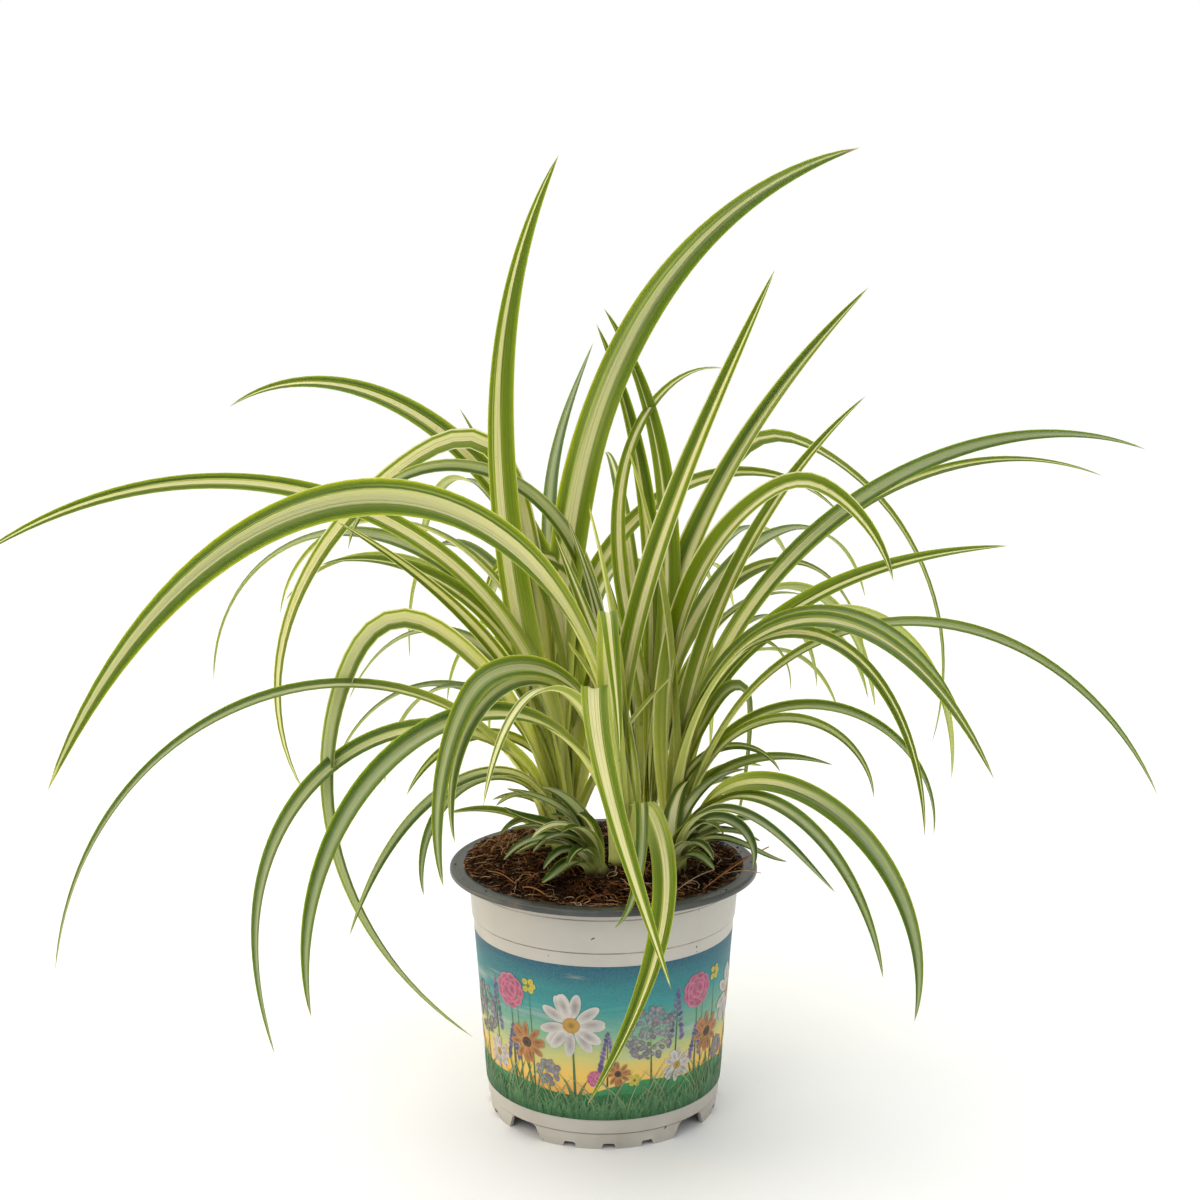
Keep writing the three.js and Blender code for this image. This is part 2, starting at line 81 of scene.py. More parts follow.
# Leaves that show from the front, one to a row. Angles in degrees, sizes in mm:
# heading, elevation at the root, at the middle, at the tip, length, width, sway, roll, and for a
# creased leaf (where the crease is along it, by how much it drops the leaf).
LEAVES = {
    "rosette_left": [
        (178, 79, 85, 118, 273, 14, 2, -70),
        (196, 99, 30, -33, 308, 11, 9, -55),
        (174, 92, 53, -18, 174, 10.5, -6, -45),
        (190, 93, 54, 32, 165, 9, -1, -50),
        (201, 89, 12, -64, 311, 10, -32, -55, (0.39, 84)),
        (197, 85, -14, -83, 283, 6, -11, -40),
        (227, 102, -15, -69, 141, 6, -16, -35),
        (204, 102, -8, -105, 108, 6, 27, -40),
        (195, 101, -40, -104, 243, 9, -9, -45),
        (190, 58, 20, -10, 48, 8, 0, -10),
        (171, 100, 34, -25, 40, 7, 5, -10),
        (172, 98, 48, -10, 46, 9, 0, 0),
        (205, 96, 40, -40, 44, 9, 0, 0),
        (215, 90, 20, -40, 36, 9, 0, 0),
        (150, 96, 44, -20, 44, 9, 0, 0),
        (345, 76, 60, 46, 84, 12, 0, 0),
    ],
    "rosette_front": [
        (227, 98, 18, -59, 366, 16, 11, -70),
        (217, 97, -12, -102, 237, 10, 9, -40),
        (229, 102, 16, -82, 213, 11, 11, -50, (0.66, 27)),
        (219, 95, 22, -112, 182, 8, 27, -40),
        (242, 86, 27, -57, 182, 8, 13, 10),
        (240, 68, 51, 24, 213, 11, 66, 0, (0.43, 82)),
        (246, 66, 63, -2, 175, 9.5, 40, 0, (0.68, 84)),
        (309, 80, 62, 50, 157, 10, -90, 0, (0.17, 97)),
        (288, 72, 42, 86, 107, 5.5, -40, 0, (0.38, 81)),
        (170, 101, 74, 69, 131, 8, 1, -60),
        (0, 101, 73, 65, 235, 11, 10, 60),
        (185, 92, 84, 76, 140, 12, 0, 0),
        (210, 96, 74, 50, 95, 10, 0, 0),
        (150, 94, 78, 66, 135, 11, 0, 0),
    ],
    "rosette_right": [
        (350, 92, 40, -18, 289, 9.5, 30, 50),
        (10, 91, 40, -20, 271, 8, 6, 35),
        (351, 96, 64, -31, 222, 13, -18, 55, (0.76, 45)),
        (22, 93, 63, 34, 207, 8, 9, 45),
        (341, 101, 42, 6, 198, 10.5, -2, 50),
        (308, 99, 20, -48, 248, 9, -13, 50),
        (330, 85, 17, -62, 258, 6, -13, 45),
        (323, 101, 29, -63, 217, 8, -17, 50),
        (345, 99, 8, -95, 164, 6, 3, 45),
        (316, 101, 18, -88, 230, 7, -22, 50),
        (334, 85, 27, -86, 127, 6, -4, 45),
        (6, 101, 23, -18, 82, 6.5, -1, 35),
        (308, 77, -24, -100, 174, 10, 27, 45),
        (305, 72, -14, -78, 143, 7, 9, 30),
        (5, 98, 52, 31, 136, 7, 20, 40, (0.54, 133)),
        (356, 101, 45, -62, 75, 6, -12, 40),
        (340, 84, 20, -48, 34, 7, -10, 15),
        (20, 96, 40, -20, 56, 9, 0, 0),
        (350, 96, 44, -30, 50, 9, 0, 0),
        (185, 94, 84, 72, 160, 12, 0, 0),
    ],
    "rosette_back_left": [
        (349, 92, 74, 13, 319, 19, -2, 75),
        (173, 102, 51, -28, 292, 12.5, -21, -60),
        (182, 78, 68, -20, 352, 12, -2, -55, (0.47, 98)),
        (173, 102, 63, -80, 238, 10, 30, -55),
        (146, 102, 24, -96, 248, 7, -37, -30),
        (185, 68, 88, -130, 168, 10.5, -15, -50),
        (207, 101, 19, -54, 108, 6.5, 20, -50),
        (117, 101, 42, 45, 267, 8, -50, 0),
        (151, 90, 74, 54, 182, 6, 2, -40),
        (37, 101, 54, -49, 235, 10, -31, 45),
    ],
    "rosette_back_right": [
        (5, 97, 67, 45, 245, 12, -2, 55),
        (23, 93, 47, -43, 360, 8.5, 0, 45, (0.48, 66)),
        (12, 80, 46, -98, 136, 5.5, 30, 40),
        (41, 101, 24, -84, 232, 8, 1, 35),
        (11, 71, 67, -18, 131, 5, 2, 30),
        (165, 92, 87, 64, 209, 10, 2, -70),
        (170, 94, 90, 56, 217, 11, -1, -70),
        (108, 82, 64, -6, 200, 8.5, -12, -15),
        (40, 75, 98, -8, 221, 8, -5, 30),
        (140, 83, 79, 69, 106, 6, 0, -20),
    ],
    "offset_left": [
        (178, 100, 22, 38, 44, 9, 0, -15),
        (195, 83, 10, -50, 42, 9, 0, -10),
        (204, 98, 24, -55, 35, 8, 0, -5),
        (224, 80, -10, -5, 27, 8.5, 3, -5),
        (240, 95, 22, -46, 28, 7, 2, 0),
        (150, 92, 58, -75, 34, 7, 2, -10),
        (168, 100, 36, 10, 50, 9, 0, 0),
        (212, 96, 34, -40, 40, 9, 0, 0),
        (151, 91, 52, 2, 42, 9, 2, -15),
        (178, 90, 6, -30, 34, 9, 0, 0),
        (220, 90, 12, -50, 30, 9, 0, 0),
        (160, 92, 14, -10, 40, 9, 0, 0),
        (232, 98, 46, -20, 34, 8, 0, 0),
        (139, 94, 34, -10, 33, 9, -4, 0),
    ],
    "offset_right": [
        (313, 100, -2, -26, 102, 5, -7, 30),
        (1, 99, -14, -8, 48, 6, 0, 20),
        (-14, 98, 10, -110, 56, 8, -25, 20),
        (20, 84, 50, -58, 22, 9, 0, 20),
        (317, 90, 6, -23, 24, 7, -11, 10),
        (40, 94, 38, -6, 57, 9, 0, -10),
        (21, 92, 14, -1, 44, 8, 0, 14),
        (348, 90, 44, -70, 34, 12, 0, -10),
        (312, 92, 24, -60, 30, 8, 0, 0),
        (8, 92, 10, -30, 40, 9, 0, 0),
        (74, 96, 53, -2, 41, 9, -7, 8),
    ],
}


# The leaves behind, by a seeded rule: crown, first heading, last heading, count
FILL_SEED = 478
FILL = [
    ("rosette_back_left", 78, 152, 9),
    ("rosette_back_right", 32, 100, 9),
    ("rosette_right", 25, 58, 4),
    ("rosette_left", 128, 160, 4),
]
DRAWN = {
    "length": (160, 300),
    "width": (6, 11),
    "rise": (90, 98),
    "middle": (0, 45),
    "droop": (70, 120),
    "sway": (-20, 20),
    "roll": (-35, 35),
}
STEPS = 48  # fine steps along a leaf
COLUMNS = 14  # strips across a leaf
BASE = {"width": 0.78, "reach": 0.25}
FOLD = {"open": 16, "root": 30, "fade": 0.12}

# ---- mesh and shader helpers


def turns(count):
    """The angles of count points all the way round."""
    return [2 * math.pi * k / count for k in range(count)]


def polar(reach, angle):
    return reach * math.cos(angle), reach * math.sin(angle)


def bridge(low, high, count, flip=False):
    """Quads between two rings of count vertices each, numbered from low and from high."""
    faces = [(low + k, high + k, high + (k + 1) % count, low + (k + 1) % count) for k in range(count)]
    return [(a, d, c, b) for a, b, c, d in faces] if flip else faces


def show(obj):
    bpy.context.scene.collection.objects.link(obj)
    return obj


def new_mesh(name, vertices, faces, material, smooth=True):
    mesh = bpy.data.meshes.new(name)
    mesh.from_pydata([tuple(v) for v in vertices], [], faces)
    mesh.materials.append(material)
    if smooth:
        mesh.shade_smooth()
    return show(bpy.data.objects.new(name, mesh))


def add_floats(obj, name, values, domain="POINT"):
    attribute = obj.data.attributes.new(name, "FLOAT", domain)
    attribute.data.foreach_set("value", np.asarray(values, np.float32))


def place(obj, slot, *nodes):
    """A finished piece rides on the pot and may stand for CAD nodes."""
    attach(obj, "root")
    if nodes:
        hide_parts(*nodes)


def smooth_by_angle(obj, limit=35):
    """Smooth shading with sharp edges where faces meet at more than limit degrees."""
    obj.data.shade_smooth()
    mesh = bmesh.new()
    mesh.from_mesh(obj.data)
    for edge in mesh.edges:
        edge.smooth = len(edge.link_faces) == 2 and edge.calc_face_angle() < math.radians(limit)
    mesh.to_mesh(obj.data)
    mesh.free()


class Heap:
    """Many small shapes gathered as one mesh, each point with its own tint."""

    def __init__(self, seed):
        self.draw = random.Random(seed)
        self.vertices, self.faces, self.tints = [], [], []

    def put(self, vertices, faces, tint):
        start = len(self.vertices)
        self.vertices += [tuple(v) for v in vertices]
        self.faces += [tuple(start + k for k in face) for face in faces]
        self.tints += [tint] * len(vertices)

    def finish(self, name, slot, material):
        obj = new_mesh(name, self.vertices, self.faces, material)
        attribute = obj.data.color_attributes.new("tint", "FLOAT_COLOR", "POINT")
        attribute.data.foreach_set("color", np.array([rgba(tint) for tint in self.tints], np.float32).ravel())
        place(obj, slot)


def rgba(colour):
    return (*colour, 1.0) if isinstance(colour, tuple) and len(colour) == 3 else colour


class Shader:
    """A Principled material and short calls that add nodes to it."""

    def __init__(self, name, **sockets):
        self.material = bpy.data.materials.new(name)
        self.material.use_nodes = True
        self.tree = self.material.node_tree
        self.surface = self.tree.nodes["Principled BSDF"]
        for key, value in sockets.items():
            self.surface.inputs[key.replace("_", " ")].default_value = value

    def add(self, kind, inputs=(), output=0, **settings):
        made = self.tree.nodes.new("ShaderNode" + kind)
        for key, value in settings.items():
            setattr(made, key, value)
        for key, value in dict(inputs).items():
            if isinstance(value, bpy.types.NodeSocket):
                self.tree.links.new(value, made.inputs[key])
            else:
                made.inputs[key].default_value = value
        return made.outputs[output]

    def math(self, operation, a, b=0.0, c=0.0, clamp=False):
        return self.add("Math", {0: a, 1: b, 2: c}, operation=operation, use_clamp=clamp)

    def times(self, a, b):
        return self.math("MULTIPLY", a, b)

    def plus(self, a, b, clamp=False):
        return self.math("ADD", a, b, clamp=clamp)

    def scaled(self, value, factor, added):
        return self.math("MULTIPLY_ADD", value, factor, added)

    def absolute(self, value):
        return self.math("ABSOLUTE", value)

    def read(self, name):
        return self.add("Attribute", attribute_name=name, output="Fac")

    def vector(self, x, y, z):
        return self.add("CombineXYZ", {"X": x, "Y": y, "Z": z})

    def noise(self, vector, scale, detail=2.0, roughness=0.5):
        inputs = {"Vector": vector, "Scale": scale, "Detail": detail, "Roughness": roughness}
        return self.add("TexNoise", inputs)

    def grain(self, scale, detail=2.0, roughness=0.5):
        """Noise fixed to the piece."""
        return self.noise(self.position(), scale, detail, roughness)

    def stretched(self, x, y, z):
        return self.add("Mapping", {"Vector": self.position(), "Scale": (x, y, z)})

    def ramp(self, value, low, high, to_low=0.0, to_high=1.0):
        """A smooth step from to_low at low to to_high at high."""
        inputs = {"Value": value, "From Min": low, "From Max": high, "To Min": to_low, "To Max": to_high}
        return self.add("MapRange", inputs, interpolation_type="SMOOTHSTEP", clamp=True)

    def mix(self, factor, a, b):
        inputs = {0: factor, 6: rgba(a), 7: rgba(b)}
        return self.add("Mix", inputs, output=2, data_type="RGBA", clamp_factor=True)

    def position(self):
        return self.add("TexCoord", output="Object")

    def height(self):
        return self.add("SeparateXYZ", {"Vector": self.position()}, output="Z")

    def bumps(self, height, distance, strength):
        return self.add("Bump", {"Height": height, "Distance": distance, "Strength": strength})

    def finish(self, colour, rough=None, normal=None):
        for key, value in (("Base Color", colour), ("Roughness", rough), ("Normal", normal)):
            if value is not None:
                self.tree.links.new(value, self.surface.inputs[key])
        return self.material


# ---- materials


def leaf_material(name, deep, bright, cream, pale):
    """Green blade with a cream stripe, streaked lengthwise, pale at the root and dry at the tip."""
    made = Shader(
        name,
        Subsurface_Weight=0.5,
        Subsurface_Radius=(0.9, 1.0, 0.12),
        Subsurface_Scale=0.0012,
        Specular_IOR_Level=0.22,
    )
    across, along, seed, tone, stripe = (made.read(key) for key in FACTS)
    under = made.read("under")

    def streaks(pitch, stretch, detail):
        """Noise in long streaks, pitch of them over half the blade."""
        sideways = made.scaled(across, pitch, made.times(seed, 97.0))
        place_at = made.vector(sideways, made.times(along, stretch), made.times(seed, 31.0))
        return made.scaled(made.noise(place_at, 1.0, detail, 0.6), fade, even)

    # Towards the tip the blade is too narrow for streaks
    fade = made.ramp(along, 0.97, 0.75)
    even = made.scaled(fade, -0.5, 0.5)
    broad, coarse, fine = streaks(2.2, 1.1, 1.0), streaks(7.0, 1.6, 3.0), streaks(24.0, 2.4, 2.0)

    # The stripe: off the middle by a little, with a wandering edge and thin streaks in and beside it
    centred = made.absolute(made.plus(across, made.scaled(seed, 0.6, -0.3)))
    narrowing = made.times(made.ramp(along, 0.4, 0.9, 0.15, 0.3), made.ramp(seed, 0.7, 0.3, 0.6, 1.0))
    edge = made.scaled(coarse, 0.3, made.math("SUBTRACT", stripe, narrowing))
    beyond = made.math("SUBTRACT", centred, edge)
    in_stripe = made.ramp(beyond, 0.05, -0.03)
    beside = made.ramp(beyond, 0.3, 0.02)
    light_streak = made.times(made.ramp(fine, 0.54, 0.66), 0.65)
    dark_streak = made.times(made.ramp(fine, 0.47, 0.36), 0.5)
    cream_part = made.math("SUBTRACT", in_stripe, made.times(dark_streak, in_stripe), clamp=True)
    cream_part = made.math("MAXIMUM", cream_part, made.times(light_streak, beside))
    # One leaf in five has pale margins too
    margin = made.times(made.ramp(made.absolute(across), 0.84, 0.93), made.ramp(seed, 0.78, 0.82))
    hairline = made.times(made.ramp(made.absolute(across), 0.95, 1.0), 0.35)
    cream_part = made.math("MAXIMUM", cream_part, made.math("MAXIMUM", margin, hairline))

    outer = made.ramp(along, 0.25, 0.85, 0.0, 0.4)
    shade = made.plus(made.plus(tone, outer), made.scaled(broad, 1.3, -0.65))
    shade = made.plus(shade, made.scaled(fine, 0.8, -0.4), clamp=True)
    green = made.mix(shade, bright, deep)
    between = made.mix(tone, (0.4, 0.44, 0.012), (0.2, 0.29, 0.01))
    green = made.mix(made.times(beside, made.ramp(coarse, 0.4, 0.65)), green, between)
    # Out along a spreading leaf the stripe fades, and a soft grey-green band down its middle is a painted
    # sheen
    stripe_fade_and_sheen = made.times(made.ramp(along, 0.3, 0.65), made.ramp(tone, 0.4, 0.6))
    clear = made.scaled(stripe_fade_and_sheen, -0.85, 1.0)
    colour = made.mix(made.times(cream_part, clear), green, cream)
    # Painted sheen: a pale grey-green band where a satin blade would catch the light
    band = made.times(made.ramp(centred, 0.8, 0.05, 0.0, 0.7), stripe_fade_and_sheen)
    colour = made.mix(band, colour, (0.4, 0.44, 0.25))
    # The channelled base is pale, the underside is paler and duller than the face
    base = made.ramp(along, 0.42, 0.0, 0.0, 0.88)
    colour = made.mix(made.times(base, made.ramp(coarse, 0.2, 0.6, 0.55, 1.0)), colour, pale)
    colour = made.mix(made.times(under, 0.3), colour, pale)
    # Damp soil clings to the root
    soiled = made.times(made.ramp(made.height(), 0.1055, 0.1005), made.ramp(along, 0.16, 0.1))
    colour = made.mix(soiled, colour, (0.05, 0.028, 0.012))
    # Small blemishes, and the point itself dried
    place_at = made.vector(across, made.times(along, 60.0), made.times(seed, 53.0))
    spots = made.noise(place_at, 1.4, 3.0)
    colour = made.mix(made.ramp(spots, 0.7, 0.78, 0.0, 0.4), colour, (0.13, 0.1, 0.03))
    dried = made.math("SUBTRACT", along, made.scaled(seed, 0.02, 0.972))
    colour = made.mix(made.ramp(dried, 0.0, 0.012), colour, (0.2, 0.16, 0.1))
    rough = made.scaled(under, 0.14, made.scaled(fine, 0.16, 0.34))
    ridges = made.plus(streaks(13.0, 1.5, 0.0), coarse)
    return made.finish(colour, rough, made.bumps(ridges, 0.0005, 0.6))


def cream_plastic():
    made = Shader("pot_cream", Subsurface_Weight=0.1, Subsurface_Scale=0.001, IOR=1.49)
    blotch = made.grain(22.0, 4.0, 0.6)
    colour = made.mix(made.ramp(blotch, 0.35, 0.75), (0.5, 0.475, 0.42), (0.44, 0.42, 0.375))
    # Darker and browner in blotches towards the foot, dirt and painted shade in the step lines, a painted
    # shadow under the rim, and a few dark specks of peat
    height = made.height()
    low = made.times(made.ramp(height, 0.016, 0.0), made.ramp(blotch, 0.4, 0.7))
    colour = made.mix(made.times(low, 0.5), colour, (0.3, 0.24, 0.18))
    dirt_and_shade_noise = made.grain(70.0, 4.0, 0.7)
    # In each step line a dark line: partly dirt, partly painted shade of the step
    for line in STEP_LINES:
        off = made.absolute(made.math("SUBTRACT", height, (line + 0.5 * STEP_RISE) * MM))
        groove_dirt_and_shade = made.times(made.ramp(off, 0.00045, 0.0002), made.ramp(dirt_and_shade_noise, 0.3, 0.6, 0.45, 0.95))
        colour = made.mix(groove_dirt_and_shade, colour, (0.16, 0.14, 0.11))
    # A painted shadow of the rim on the wall just below it, broken up by noise
    painted_rim_shadow = made.times(made.ramp(height, 0.0925, 0.0965), made.ramp(dirt_and_shade_noise, 0.4, 0.65, 0.1, 0.6))
    colour = made.mix(painted_rim_shadow, colour, (0.26, 0.22, 0.17))
    colour = made.mix(made.ramp(made.grain(420.0, 1.0), 0.77, 0.8), colour, (0.1, 0.06, 0.035))
    rough = made.ramp(made.grain(60.0, 5.0, 0.7), 0.3, 0.8, 0.36, 0.56)
    return made.finish(colour, rough, made.bumps(made.grain(900.0, 2.0), 0.00008, 0.4))


def grey_plastic():
    made = Shader("pot_grey", IOR=1.49)
    patch = made.grain(30.0, 5.0, 0.65)
    colour = made.mix(made.ramp(patch, 0.35, 0.7), (0.034, 0.039, 0.038), (0.075, 0.081, 0.073))
    stain = made.ramp(made.grain(90.0, 4.0, 0.7), 0.55, 0.75)
    colour = made.mix(made.times(stain, 0.6), colour, (0.15, 0.11, 0.075))
    colour = made.mix(made.ramp(made.grain(500.0, 1.0), 0.74, 0.78), colour, (0.03, 0.018, 0.012))
    rough = made.ramp(patch, 0.3, 0.8, 0.28, 0.48)
    return made.finish(colour, rough, made.bumps(made.grain(700.0, 3.0), 0.0001, 0.5))


def printed(made, colour):
    """The fine pale grain of print on plastic."""
    grain = made.ramp(made.grain(1500.0, 1.0), 0.3, 0.7, 0.0, 0.05)
    return made.finish(made.mix(grain, colour, (0.55, 0.53, 0.48)))


def sky_material():
    """The printed sky: teal at the top, pale green, then yellow and orange at the horizon."""
    made = Shader("print_sky", Roughness=0.5, Specular_IOR_Level=0.22)
    wisps = made.noise(made.stretched(18.0, 18.0, 130.0), 1.0, 6.0, 0.62)
    wander = made.scaled(wisps, 0.02, made.math("SUBTRACT", made.height(), 0.01))
    place_up = made.add("MapRange", {"Value": wander, "From Min": 0.022, "From Max": 0.073})
    ramp = made.tree.nodes.new("ShaderNodeValToRGB")
    stops = [
        (0.0, (0.72, 0.34, 0.08)),
        (0.13, (0.76, 0.48, 0.1)),
        (0.3, (0.52, 0.5, 0.17)),
        (0.46, (0.2, 0.38, 0.24)),
        (0.68, (0.035, 0.25, 0.25)),
        (1.0, (0.018, 0.1, 0.15)),
    ]
    elements = ramp.color_ramp.elements
    while len(elements) < len(stops):
        elements.new(0.5)
    for element, (at, colour) in zip(elements, stops):
        element.position = at
        element.color = rgba(colour)
    made.tree.links.new(place_up, ramp.inputs["Fac"])
    cloud = made.ramp(wisps, 0.54, 0.72, 0.0, 0.55)
    return printed(made, made.mix(cloud, ramp.outputs["Color"], (0.5, 0.5, 0.42)))


def ink_material():
    """The printed motifs, each in its own colour."""
    made = Shader("print_ink", Roughness=0.5, Specular_IOR_Level=0.22)
    tint = made.add("VertexColor", layer_name="tint")
    mottle = made.ramp(made.grain(160.0, 4.0, 0.7), 0.42, 0.75, 0.0, 0.3)
    return printed(made, made.mix(mottle, tint, (0.03, 0.045, 0.02)))


def soil_material():
    made = Shader("soil_bed", Roughness=0.95, Specular_IOR_Level=0.04)
    lumps = made.grain(140.0, 6.0, 0.7)
    threads = made.noise(made.stretched(1.0, 3.0, 1.0), 500.0, 4.0)
    colour = made.mix(made.ramp(lumps, 0.35, 0.7), (0.003, 0.001, 0.0005), (0.025, 0.009, 0.004))
    colour = made.mix(made.ramp(threads, 0.6, 0.8, 0.0, 0.5), colour, (0.1, 0.04, 0.016))
    return made.finish(colour, normal=made.bumps(made.plus(lumps, threads), 0.002, 0.8))


def fibre_material():
    made = Shader("coir_fibre", Roughness=0.7, Specular_IOR_Level=0.12)
    tint = made.add("VertexColor", layer_name="tint")
    dark = made.ramp(made.grain(800.0, 3.0), 0.4, 0.8, 0.0, 0.4)
    return made.finish(made.mix(dark, tint, (0.02, 0.01, 0.006)))


# ---- pot


def wall_radius(height):
    """Radius of the pot's outside, in mm, at a height between the ground and the rim."""
    steps = sum(1 for line in STEP_LINES if line < height)
    return FOOT_RADIUS + WALL_SLOPE * height + STEP_OUT * steps


def turned(name, profile, material):
    """A closed solid of revolution from a loop of (radius, height) in mm; a radius of 0 is on the axis."""
    sides = 192
    mesh = bmesh.new()
    rings = []
    for radius, height in profile:
        around = turns(sides) if radius else [0]
        rings.append([mesh.verts.new(Vector((*polar(radius, turn), height)) * MM) for turn in around])
    for low, high in zip(rings, rings[1:] + rings[:1]):
        for k in range(sides):
            picks = ((low, k), (low, k + 1), (high, k + 1), (high, k))
            corners = list(dict.fromkeys(ring[at % len(ring)] for ring, at in picks))
            if len(corners) > 2:
                mesh.faces.new(corners)
    obj = closed(mesh, name)
    obj.data.materials.append(material)
    smooth_by_angle(obj)
    return obj


def closed(mesh, name):
    """The object of a closed bmesh, which is freed, with its faces turned outwards."""
    bmesh.ops.recalc_face_normals(mesh, faces=mesh.faces)
    data = bpy.data.meshes.new(name)
    mesh.to_mesh(data)
    mesh.free()
    return show(bpy.data.objects.new(name, data))


def cut(obj, solids):
    """Takes closed solids away from an object, each given as its two end outlines in mm."""
    mesh = bmesh.new()
    for ends in solids:
        low, high = ([mesh.verts.new(Vector(point) * MM) for point in end] for end in ends)
        mesh.faces.new(low)
        mesh.faces.new(high[::-1])
        for k in range(len(low)):
            after = (k + 1) % len(low)
            mesh.faces.new([low[k], high[k], high[after], low[after]])
    cutter = closed(mesh, "cutter")
    difference = obj.modifiers.new("cut", "BOOLEAN")
    difference.operation = "DIFFERENCE"
    difference.solver = "EXACT"
    difference.object = cutter
    whole = obj.data
    graph = bpy.context.evaluated_depsgraph_get()
    obj.data = bpy.data.meshes.new_from_object(obj.evaluated_get(graph))
    obj.modifiers.clear()
    bpy.data.meshes.remove(whole)
    bpy.data.objects.remove(cutter)
    smooth_by_angle(obj)


def notch(shape, turn):
    """A wedge that cuts one notch through the foot, its top corners rounded off."""
    across = [FOOT_RADIUS * math.sin(math.radians(shape[key])) for key in ("half", "half_top")]
    below = 1
    soft = 0.3 * shape["height"]
    corner = [(0.45, 1.0), (0.3, 0.6), (0.0, 0.25), (-0.5, 0.05), (-1.0, 0.0)]
    right = [(across[1] + soft * x, shape["height"] - soft * z) for x, z in corner]
    right.insert(0, (across[0], -below))
    outline = right + [(-x, z) for x, z in reversed(right)]
    out = Vector((*polar(1, math.radians(turn)), 0))
    side = Vector((-out.y, out.x, 0))
    depths = FOOT_RADIUS - 7, FOOT_RADIUS + 6
    return [[out * depth + side * x + Vector((0, 0, z)) for x, z in outline] for depth in depths]


def notches():
    made = []
    for foot in range(FEET):
        quarter = foot * 360 / FEET
        made.append(notch(WIDE_NOTCH, WIDE_NOTCH["first"] + quarter))
        for turn in SMALL_NOTCH["turns"]:
            made.append(notch(SMALL_NOTCH, SMALL_NOTCH["first"] + quarter + turn))
    return made


def drain_holes():
    circle = [polar(DRAIN["radius"], turn) for turn in turns(32)]
    places = [(0.0, 0.0), *(polar(DRAIN["ring"], turn) for turn in turns(DRAIN["count"]))]
    heights = FLOOR_UNDER - 3, FLOOR_UNDER + 4
    return [[[(x + c, y + s, z) for c, s in circle] for z in heights] for x, y in places]


def make_pot(cream, grey):
    """The sheet has two layers: cream outside, and grey inside with the rolled rim and the raised floor."""
    skin = 0.5 * SHEET
    floor_top = FLOOR_UNDER + SHEET
    outside = []
    for line in STEP_LINES:
        outside.append((wall_radius(line), line))
        outside.append((wall_radius(line) + 0.25 * STEP_OUT, line + 0.15 * STEP_RISE))
        outside.append((wall_radius(line) + STEP_OUT, line + STEP_RISE))
    neck = wall_radius(RIM_UNDER)
    inset = 1.7  # of the foot and of the raised floor
    foot_in = FOOT_RADIUS - inset
    body = [
        (foot_in + 0.2, 0),
        (FOOT_RADIUS - 0.3, 0),
        (FOOT_RADIUS, 0.4),
        *outside,
        (neck, RIM_UNDER + 0.2),
        (neck - skin, RIM_UNDER + 0.2),
        *[(radius - skin, height) for radius, height in reversed(outside[3:])],
        (wall_radius(FLOOR_UNDER) - skin, FLOOR_UNDER + 0.1),
        (wall_radius(FLOOR_UNDER) - inset, FLOOR_UNDER + 0.1),
        (foot_in, 0.3),
    ]
    wall = turned("pot_wall", body, cream)
    cut(wall, notches())
    place(wall, "pot", "pot")

    lip, edge = RIM_RADIUS, RIM_UNDER - LIP["drop"]
    rim = [
        (neck + 0.01, RIM_UNDER + 0.2),
        (neck + 0.3, RIM_UNDER),
        (lip - 1.5, RIM_UNDER),
        (lip - 1.15, RIM_UNDER - 0.15),
        (lip - 1.0, edge + 0.15),
        (lip - 0.8, edge),
        (lip - 0.25, edge),
        (lip, edge + 0.25),
        (lip, RIM_TOP - 1.0),
        (lip - 0.12, RIM_TOP - 0.55),
        (lip - 0.4, RIM_TOP - 0.2),
        (lip - 0.9, RIM_TOP),
        (lip - 1.5, RIM_TOP - 0.03),
        (lip - 2.3, RIM_TOP - 0.22),
        (neck + 1.4, RIM_TOP - 0.2),
        (neck + 0.6, RIM_TOP - 0.05),
        (neck, RIM_TOP),
        (neck - 0.7, RIM_TOP - 0.25),
        (neck - SHEET, RIM_TOP - LIP["width"]),
    ]
    hidden_face = 0.02
    lining = [
        (0, FLOOR_UNDER),
        (wall_radius(FLOOR_UNDER) - inset, FLOOR_UNDER),
        (wall_radius(FLOOR_UNDER) - skin - hidden_face, FLOOR_UNDER + 0.2),
        *[(radius - skin - hidden_face, height) for radius, height in outside[3:]],
        *rim,
        *[(radius - SHEET, height) for radius, height in reversed(outside[3:])],
        (wall_radius(floor_top) - SHEET, floor_top),
        (0, floor_top),
    ]
    inner = turned("pot_lining", lining, grey)
    cut(inner, drain_holes())
    place(inner, "pot_rim")


# ---- print on the pot

BAND = (12.3, 73.7)  # heights between which the pot is printed, mm
BAND_RADIUS = 49.1  # at which the motifs' widths are true
AROUND = 2 * math.pi * BAND_RADIUS
FRONT = 270  # heading that faces the viewer
# Height of each layer of ink over the wall, mm
LIFT = {"sky": 0.06, "far hill": 0.1, "near hill": 0.13, "stem": 0.16, "flower": 0.21, "grass": 0.3}
STEM = ((0.02, 0.08, 0.03), (0.11, 0.2, 0.06))  # colour at the foot and at the top
# Hills: height of the crest, its sway, the colour at the foot and at the crest
HILLS = {
    "far hill": (25, 2.4, (0.01, 0.09, 0.03), (0.04, 0.24, 0.08)),
    "near hill": (21, 1.8, (0.006, 0.05, 0.015), (0.015, 0.14, 0.04)),
}
BUNCHES = 4
GRASS = 1300  # blades
